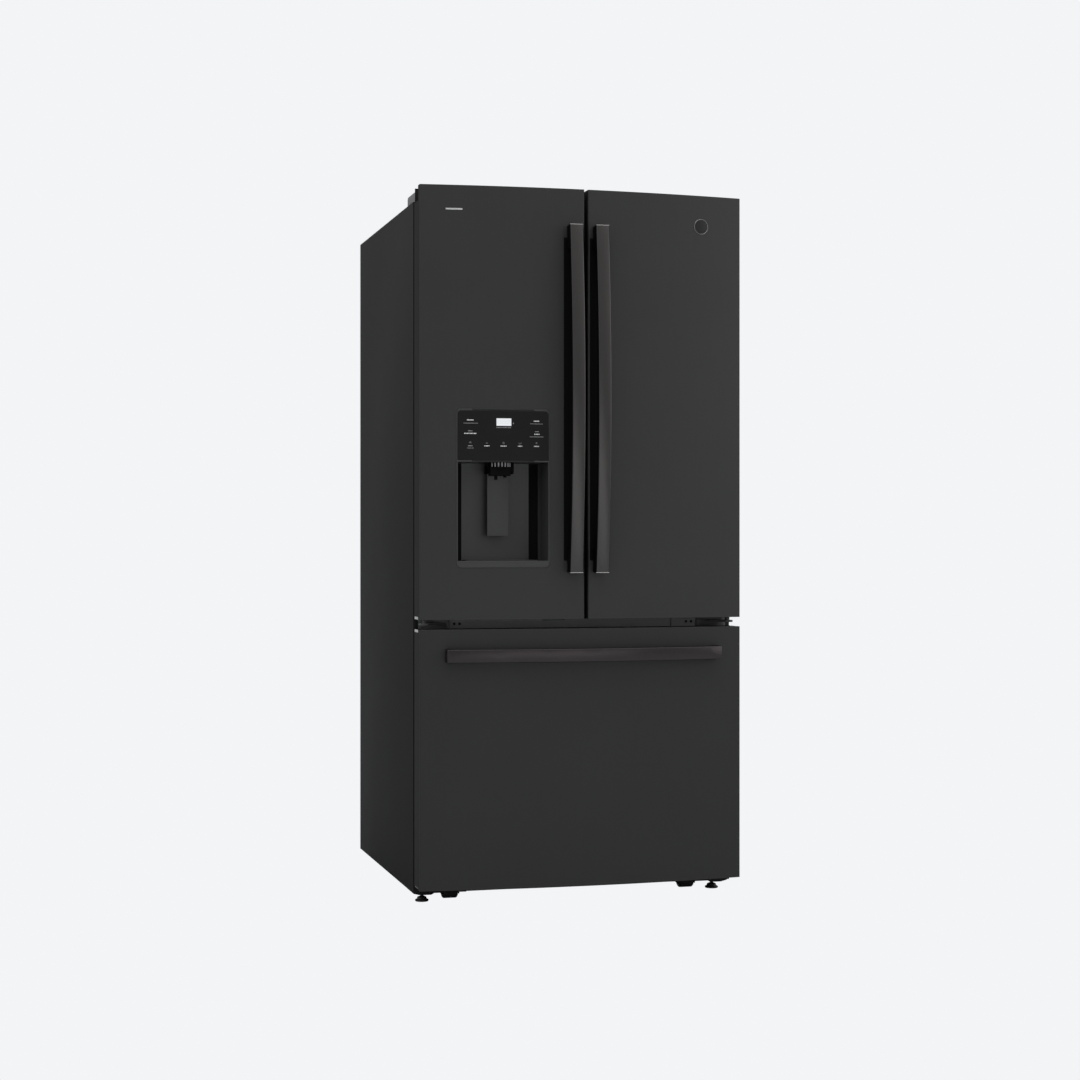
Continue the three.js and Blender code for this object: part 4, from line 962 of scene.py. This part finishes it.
def foam_covers():
    """Flanges over the foam's edges: beside the freezer's opening, and beside the rear cover."""
    cover_low, cover_high = low_of("rear_access_cover"), high_of("rear_access_cover")
    rail_z = low_of("centre_rail").z - 0.2 * MM
    front_edge, back_edge = [], []
    for _, side in SIDES:
        x = sorted((side * (freezer_high.x + 0.1 * MM), side * (fresh_high.x + 0.1 * MM)))
        y = (case_low.y - 0.1 * MM, case_low.y + 1.8 * MM)
        front_edge.append(((x[0], y[0], freezer_low.z), (x[1], y[1], rail_z)))
        x = sorted((side * (cover_high.x + 0.02 * MM), side * (case_high.x - 1.3 * MM)))
        y = (cover_high.y + 0.1 * MM, case_high.y - 0.3 * MM)
        back_edge.append(((x[0], y[0], cover_low.z), (x[1], y[1], cover_high.z)))
    blocks("freezer_side_flanges", front_edge, black_paint, "cabinet", 0.2 * MM)
    blocks("rear_side_flanges", back_edge, zinc, "cabinet", 0.2 * MM)


def back_panel():
    """The back sheet with three raised swages and its row of screws, all inside the case's back face."""
    node = "back_panel"
    low, high = low_of(node), high_of(node)
    sheet_y, proud_y = low.y + 0.5 * MM, high.y - 0.1 * MM
    half, end = 45 * MM, 110 * MM
    spans = [((low.x, low.y, low.z), (high.x, sheet_y, high.z))]
    for x in (-250 * MM, 0, 250 * MM):
        spans.append(((x - half, sheet_y - 0.2 * MM, low.z + end), (x + half, proud_y, high.z - end)))
    sheet = blocks(node + "_finished", spans, back_paint, home[node], 0.25 * MM)
    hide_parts(node)
    inset = 9 * MM
    for name, x in (("left", low.x + inset), ("right", high.x - inset)):
        first = (x, high.y - 0.45 * MM, low.z + 30 * MM)
        step = (0, 0, (high.z - low.z - 60 * MM) / 6)
        screws(f"back_screws_{name}", 7, first, step, slot_of[node], height=0.7 * MM)


def hinges():
    for name, side in SIDES:
        refined(f"top_hinge_{name}", black_paint)
        refined(f"centre_hinge_{name}", hinge_paint)
        node = f"hinge_cover_{name}"
        paint(refined(node, cover_grey, 1.5 * MM, 3), black_plastic, lambda c, n: n.y < -0.5)
        high = high_of(node)
        first = ((low_of(node).x + high.x) / 2, high.y - 22 * MM, high.z + 0.2 * MM)
        screws(f"hinge_cover_screw_{name}", 1, first, (0, 0, 0), "grey_plastic", UPRIGHT, 9 * MM)
        centre = middle_of(f"centre_hinge_{name}")
        first = (centre.x - side * 26 * MM, low_of("centre_rail").y - 4.0 * MM, centre.z - 21 * MM)
        screws(f"centre_hinge_screws_{name}", 2, first, (0, 0, 44 * MM), "black_steel", head=6 * MM)


# ------------------------------------------------------------------ fresh food compartment
def framed_shelf(node):
    """A glass plate in a white frame: deep front trim, side rails and a back trim."""
    low, high = low_of(node), high_of(node)
    rail, front, back = 11 * MM, 20 * MM, 9 * MM
    rail_y = (low.y + front - 1 * MM, high.y - back + 1 * MM)
    spans = [
        ((low.x, low.y, low.z), (high.x, low.y + front, high.z)),
        ((low.x, high.y - back, low.z + 3 * MM), (high.x, high.y, high.z)),
        ((low.x, rail_y[0], low.z + 2 * MM), (low.x + rail, rail_y[1], high.z)),
        ((high.x - rail, rail_y[0], low.z + 2 * MM), (high.x, rail_y[1], high.z)),
    ]
    blocks(node + "_frame", spans, white_trim, home[node], 1.5 * MM, 3)
    lip = 2 * MM
    plate = [((low.x + rail - lip, low.y + front - lip, high.z - 5.5 * MM),
              (high.x - rail + lip, high.y - back + lip, high.z - 1.2 * MM))]
    glass = blocks(node + "_glass", plate, shelf_glass, home[node], 0.4 * MM)
    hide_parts(node)
    strip = [((low.x + 2 * MM, low.y - 0.6 * MM, low.z + 4.5 * MM),
              (high.x - 2 * MM, low.y + 1 * MM, high.z - 4.5 * MM))]
    blocks(node + "_front_strip", strip, trim_metal, home[node], 0.3 * MM)


def rim(name, node, rise, width, closed):
    """A white rim along the top of a bin or a basket. A bin's rim is open where it meets its door."""
    low, high = low_of(node), high_of(node)
    wall = 3.4 * MM
    z = (high.z - 1 * MM, high.z + rise)
    start = low.y + wall if closed else low.y
    spans = [
        ((low.x, high.y - wall, z[0]), (high.x, high.y, z[1])),
        ((low.x, start, z[0]), (low.x + wall, high.y - wall, z[1])),
        ((high.x - wall, start, z[0]), (high.x, high.y - wall, z[1])),
    ]
    if closed:
        spans.append(((low.x, low.y, z[0]), (high.x, start, z[1])))
    blocks(name, spans, white_trim, home[node], width)


def front_band(node, y, z, width):
    """A white band across a drawer's front. Its heights are measured down from the drawer's top."""
    low, high = low_of(node), high_of(node)
    span = [((low.x + 1 * MM, y[0], high.z - z[0]), (high.x - 1 * MM, y[1], high.z - z[1]))]
    blocks(node + "_front_band", span, white_trim, home[node], width)


def door_bin(node):
    """A clear bin with a white rim along its top and ribs inside its front."""
    refined(node, clear_bin, 1.2 * MM, 3)
    rim(node + "_rim", node, 2.6 * MM, 0.9 * MM, closed=False)
    low, high = low_of(node), high_of(node)
    first = (low.x + 22 * MM, high.y - 3.3 * MM, (low.z + high.z) / 2)
    step = ((high.x - low.x - 44 * MM) / 12, 0, 0)
    size = (1.4 * MM, 1.4 * MM, high.z - low.z - 24 * MM)
    row(node + "_ribs", 13, first, step, size, clear_bin, home[node], slot_of[node])


def drawer_tub(node):
    """A clear crisper drawer with a white front band and ribs along the floor."""
    refined(node, clear_bin, 1.5 * MM, 3)
    low, high = low_of(node), high_of(node)
    face = low.y + 10 * MM
    front_band(node, (face - 2 * MM, face + 0.5 * MM), (26 * MM, 0.5 * MM), 0.8 * MM)
    first = (low.x + 30 * MM, (face + high.y) / 2, low.z + 3.6 * MM)
    step = ((high.x - low.x - 60 * MM) / 8, 0, 0)
    size = (2 * MM, high.y - face - 40 * MM, 1.4 * MM)
    row(node + "_floor_ribs", 9, first, step, size, clear_bin, home[node], slot_of[node])


def ice_making():
    refined("ice_maker", white_liner, 2.0 * MM, 3)
    refined("ice_bucket", frosted_bin, 1.5 * MM, 3)
    low, high = low_of("ice_maker"), high_of("ice_maker")
    first = ((low.x + high.x) / 2, low.y + 0.1 * MM, high.z - 18 * MM)
    size = (high.x - low.x - 40 * MM, 0.8 * MM, 4 * MM)
    row("ice_maker_vents", 7, first, (0, 0, -10 * MM), size, black_plastic, "cabinet", "black_plastic")
    face = low_of("ice_bucket").y + 10 * MM
    front_band("ice_bucket", (face - 1.5 * MM, face + 1 * MM), (22 * MM, 2 * MM), 0.7 * MM)


def fresh_food():
    for node in ("shelf_upper", "shelf_middle", "crisper_cover"):
        framed_shelf(node)
    for node in ("left_door_bin", "right_door_bin_lower", "right_door_bin_middle", "right_door_bin_upper"):
        door_bin(node)
    for node in ("crisper_left", "crisper_right"):
        drawer_tub(node)
    ice_making()
    back = fresh_high.y - liner_wall
    ceiling = fresh_high.z - liner_wall
    right = fresh_high.x - liner_wall
    tower_low = high_of("crisper_cover").z + 40 * MM
    tower = [((-78 * MM, back - 3.8 * MM, tower_low), (78 * MM, back - 0.3 * MM, ceiling - 40 * MM))]
    blocks("air_tower", tower, white_trim, "cabinet", 1.5 * MM, 3)
    size = (110 * MM, 0.5 * MM, 5 * MM)
    step = (0, 0, 11 * MM)
    for i, node in enumerate(("crisper_cover", "shelf_middle", "shelf_upper")):
        first = (0, back - 3.9 * MM, high_of(node).z + 120 * MM)
        row(f"air_tower_vents_{i + 1}", 5, first, step, size, black_plastic, "cabinet", "black_plastic")
    y = (fresh_low.y + 60 * MM, fresh_low.y + 92 * MM)
    lamp = [((-170 * MM, y[0], ceiling - 3.4 * MM), (170 * MM, y[1], ceiling - 0.2 * MM))]
    blocks("ceiling_lamp", lamp, lamp_lens, "cabinet", 1.0 * MM, 3)
    cover = [((right - 118 * MM, fresh_low.y + 190 * MM, ceiling - 34 * MM),
              (right - 14 * MM, back - 60 * MM, ceiling - 0.3 * MM))]
    blocks("water_filter_cover", cover, white_trim, "cabinet", 9 * MM, 5)
    cap = [(0, 0), (13.86, 0), (14.28, 3), (14.28, 9), (13.02, 12), (0, 12)]
    centre = (right - 66 * MM, fresh_low.y + 191 * MM, ceiling - 17 * MM)
    turned("water_filter_cap", cap, centre, (0, -1, 0), cap_grey)
    refined("flipper_mullion", black_plastic, 2.0 * MM, 3)


def door_details():
    """Lugs that take the bins at other heights, along the insides of the doors' raised rims."""
    size = (1.5 * MM, 26 * MM, 10 * MM)
    step = (0, 0, 42 * MM)
    for side, node, count in (("left", "left_door_bin", 1), ("right", "right_door_bin_upper", 2)):
        low, high = low_of(node), high_of(node)
        for name, x in (("outer", low.x - 1.2 * MM), ("inner", high.x + 1.2 * MM)):
            first = (x, low.y + 34 * MM, high.z + 22 * MM)
            label = f"{side}_door_lugs_{name}"
            row(label, count, first, step, size, white_liner, f"{side}_door", "liner", 0.6 * MM)


# ------------------------------------------------------------------ freezer
def basket(node):
    """A frosted basket with ribs along its front and its floor."""
    refined(node, frosted_bin, 1.5 * MM, 3)
    low, high = low_of(node), high_of(node)
    pitch = 26 * MM
    count = int((high.x - low.x - 60 * MM) / pitch)
    x = -(count - 1) * pitch / 2
    places = {
        "front": (low.y + 3.6 * MM, (low.z + high.z) / 2 - 6 * MM, 1.6 * MM, high.z - low.z - 46 * MM),
        "floor": ((low.y + high.y) / 2, low.z + 3.6 * MM, high.y - low.y - 60 * MM, 1.6 * MM),
    }
    for name, (y, z, depth, height) in places.items():
        size = (2.4 * MM, depth, height)
        label, first, step = f"{node}_{name}_ribs", (x, y, z), (pitch, 0, 0)
        row(label, count, first, step, size, frosted_bin, home[node], slot_of[node])


def freezer():
    basket("freezer_basket_lower")
    basket("freezer_basket_upper")
    rim("upper_basket_rim", "freezer_basket_upper", 3 * MM, 1.0 * MM, closed=True)
    refined("drawer_frame", zinc, 1.0 * MM)
    refined("evaporator_cover", white_liner, 1.0 * MM)
    low, high = low_of("evaporator_cover"), high_of("evaporator_cover")
    for name, side in SIDES:
        refined(f"cabinet_rail_{name}", zinc, 0.4 * MM)
        first = (side * (high.x - 14 * MM), low.y - 0.3 * MM, low.z + 24 * MM)
        screws(f"evaporator_cover_screws_{name}", 3, first, (0, 0, 135 * MM), "zinc_steel")
    centre = (0, low.y + 0.5 * MM, low.z + 120 * MM)
    ring = [(58, 0), (66, 0), (66, 3), (63, 5), (58, 5)]
    turned("freezer_fan_ring", ring, centre, (0, -1, 0), white_trim)
    # A flat near-black disc inside the fan ring, with no hole cut: painted shade of the fan's opening.
    dark = [(0, -0.3), (57.5, -0.3), (57.5, 0.4), (0, 0.4)]
    turned("freezer_fan_opening_shade", dark, centre, (0, -1, 0), nozzle_and_shade_black)
    first = (0, low.y - 1.5 * MM, centre[2] - 48 * MM)
    size = (114 * MM, 2.5 * MM, 3 * MM)
    row("freezer_fan_slats", 9, first, (0, 0, 12 * MM), size, white_trim, "cabinet", "liner")


# ------------------------------------------------------------------ machine compartment, feet and rollers
def compressor_tubes():
    """Two copper tubes from the compressor's top, and the terminal box on its side."""
    x, y, _ = middle_of("compressor")
    top = high_of("compressor").z
    lift = top + 30 * MM
    coil_low, coil_high = low_of("condenser_coil"), high_of("condenser_coil")
    discharge = [
        (x + 34 * MM, y, top - 8 * MM),
        (x + 36 * MM, y, lift - 8 * MM),
        (x + 60 * MM, y - 10 * MM, lift),
        (coil_low.x + 40 * MM, y - 40 * MM, lift),
        (coil_high.x - 150 * MM, y - 50 * MM, lift - 6 * MM),
        (coil_high.x - 140 * MM, y - 50 * MM, coil_high.z - 4 * MM),
    ]
    tube("discharge_tube", discharge, 3.2 * MM)
    suction = [
        (x - 30 * MM, y + 20 * MM, top - 10 * MM),
        (x - 34 * MM, y + 26 * MM, lift),
        (x - 50 * MM, y - 40 * MM, lift + 12 * MM),
        (x - 50 * MM, y - 115 * MM, lift + 14 * MM),
    ]
    tube("suction_tube", suction, 4 * MM)
    terminals = [((x + 70 * MM, y - 22 * MM, 88 * MM), (x + 94 * MM, y + 22 * MM, 140 * MM))]
    blocks("compressor_terminal_box", terminals, black_plastic, "cabinet", 3 * MM, 3)


def machine_room():
    refined("rear_access_cover", zinc, 0.3 * MM)
    refined("compressor", coil_black, 3 * MM, 4)
    refined("condenser_coil", coil_black, 0.4 * MM, 1)
    refined("condenser_fan", black_plastic, 0.5 * MM)
    low, high = low_of("rear_access_cover"), high_of("rear_access_cover")
    face = low.y + 1.2 * MM
    step = ((high.x - low.x - 40 * MM) / 5, 0, 0)
    for name, z in (("low", low.z + 14 * MM), ("high", high.z - 10 * MM)):
        first = (low.x + 20 * MM, face + 0.4 * MM, z)
        screws(f"rear_cover_screws_{name}", 6, first, step, "zinc_steel")
    x = high.x - 160 * MM
    body = [((x - 17 * MM, face - 1 * MM, low.z + 22 * MM),
             (x + 17 * MM, face + 9.5 * MM, low.z + 52 * MM))]
    blocks("water_valve_body", body, white_trim, "cabinet", 2 * MM, 3)
    thread = [(8 if i % 2 == 0 else 7, 2 + 0.6 * i) for i in range(7)]
    inlet = [(0, 0), (8, 0), *thread, (8, 9), (5, 9), (5, 4), (0, 4)]
    spot = (x, face + 1.6 * MM, low.z + 20 * MM)
    turned("water_valve_inlet", inlet, spot, (0, 0, -1), trim_metal, 24)
    compressor_tubes()
    fan = middle_of("condenser_fan")
    ring = [(80.5, -12), (86, -12), (86, 14), (84, 14), (80.5, 12)]
    turned("fan_shroud", ring, (fan.x, fan.y, 125 * MM), (1, 0, 0), black_plastic, 64)


def feet():
    for side, _ in SIDES:
        refined(f"levelling_leg_{side}", black_plastic, 0.4 * MM)
        refined(f"front_bracket_{side}", black_paint, 0.4 * MM)
        refined(f"front_roller_{side}", tyre_black)
        refined(f"rear_roller_{side}", tyre_black)


# ------------------------------------------------------------------ the whole
make_camera()
make_world()
make_floor()
bpy.context.scene.view_settings.view_transform = "Standard"
make_light("softbox_above", (0.2, -1.6, 4.4), (0, -0.3, 0.6), (4.0, 3.0), 48)
make_light("softbox_right", (3.8, -3.4, 2.2), (0.1, -0.4, 0.9), (2.2, 2.6), 30)
make_light("softbox_low", (0.4, -4.4, 0.6), (0.0, -0.4, 0.85), (2.4, 0.8), 5)
make_light("softbox_left", (-4.2, -2.6, 2.0), (-0.4, -0.2, 0.9), (2.2, 2.6), 14)

fronts()
medallion()
name_bar()
dispenser()
cabinet()
fresh_food()
door_details()
freezer()
machine_room()
feet()
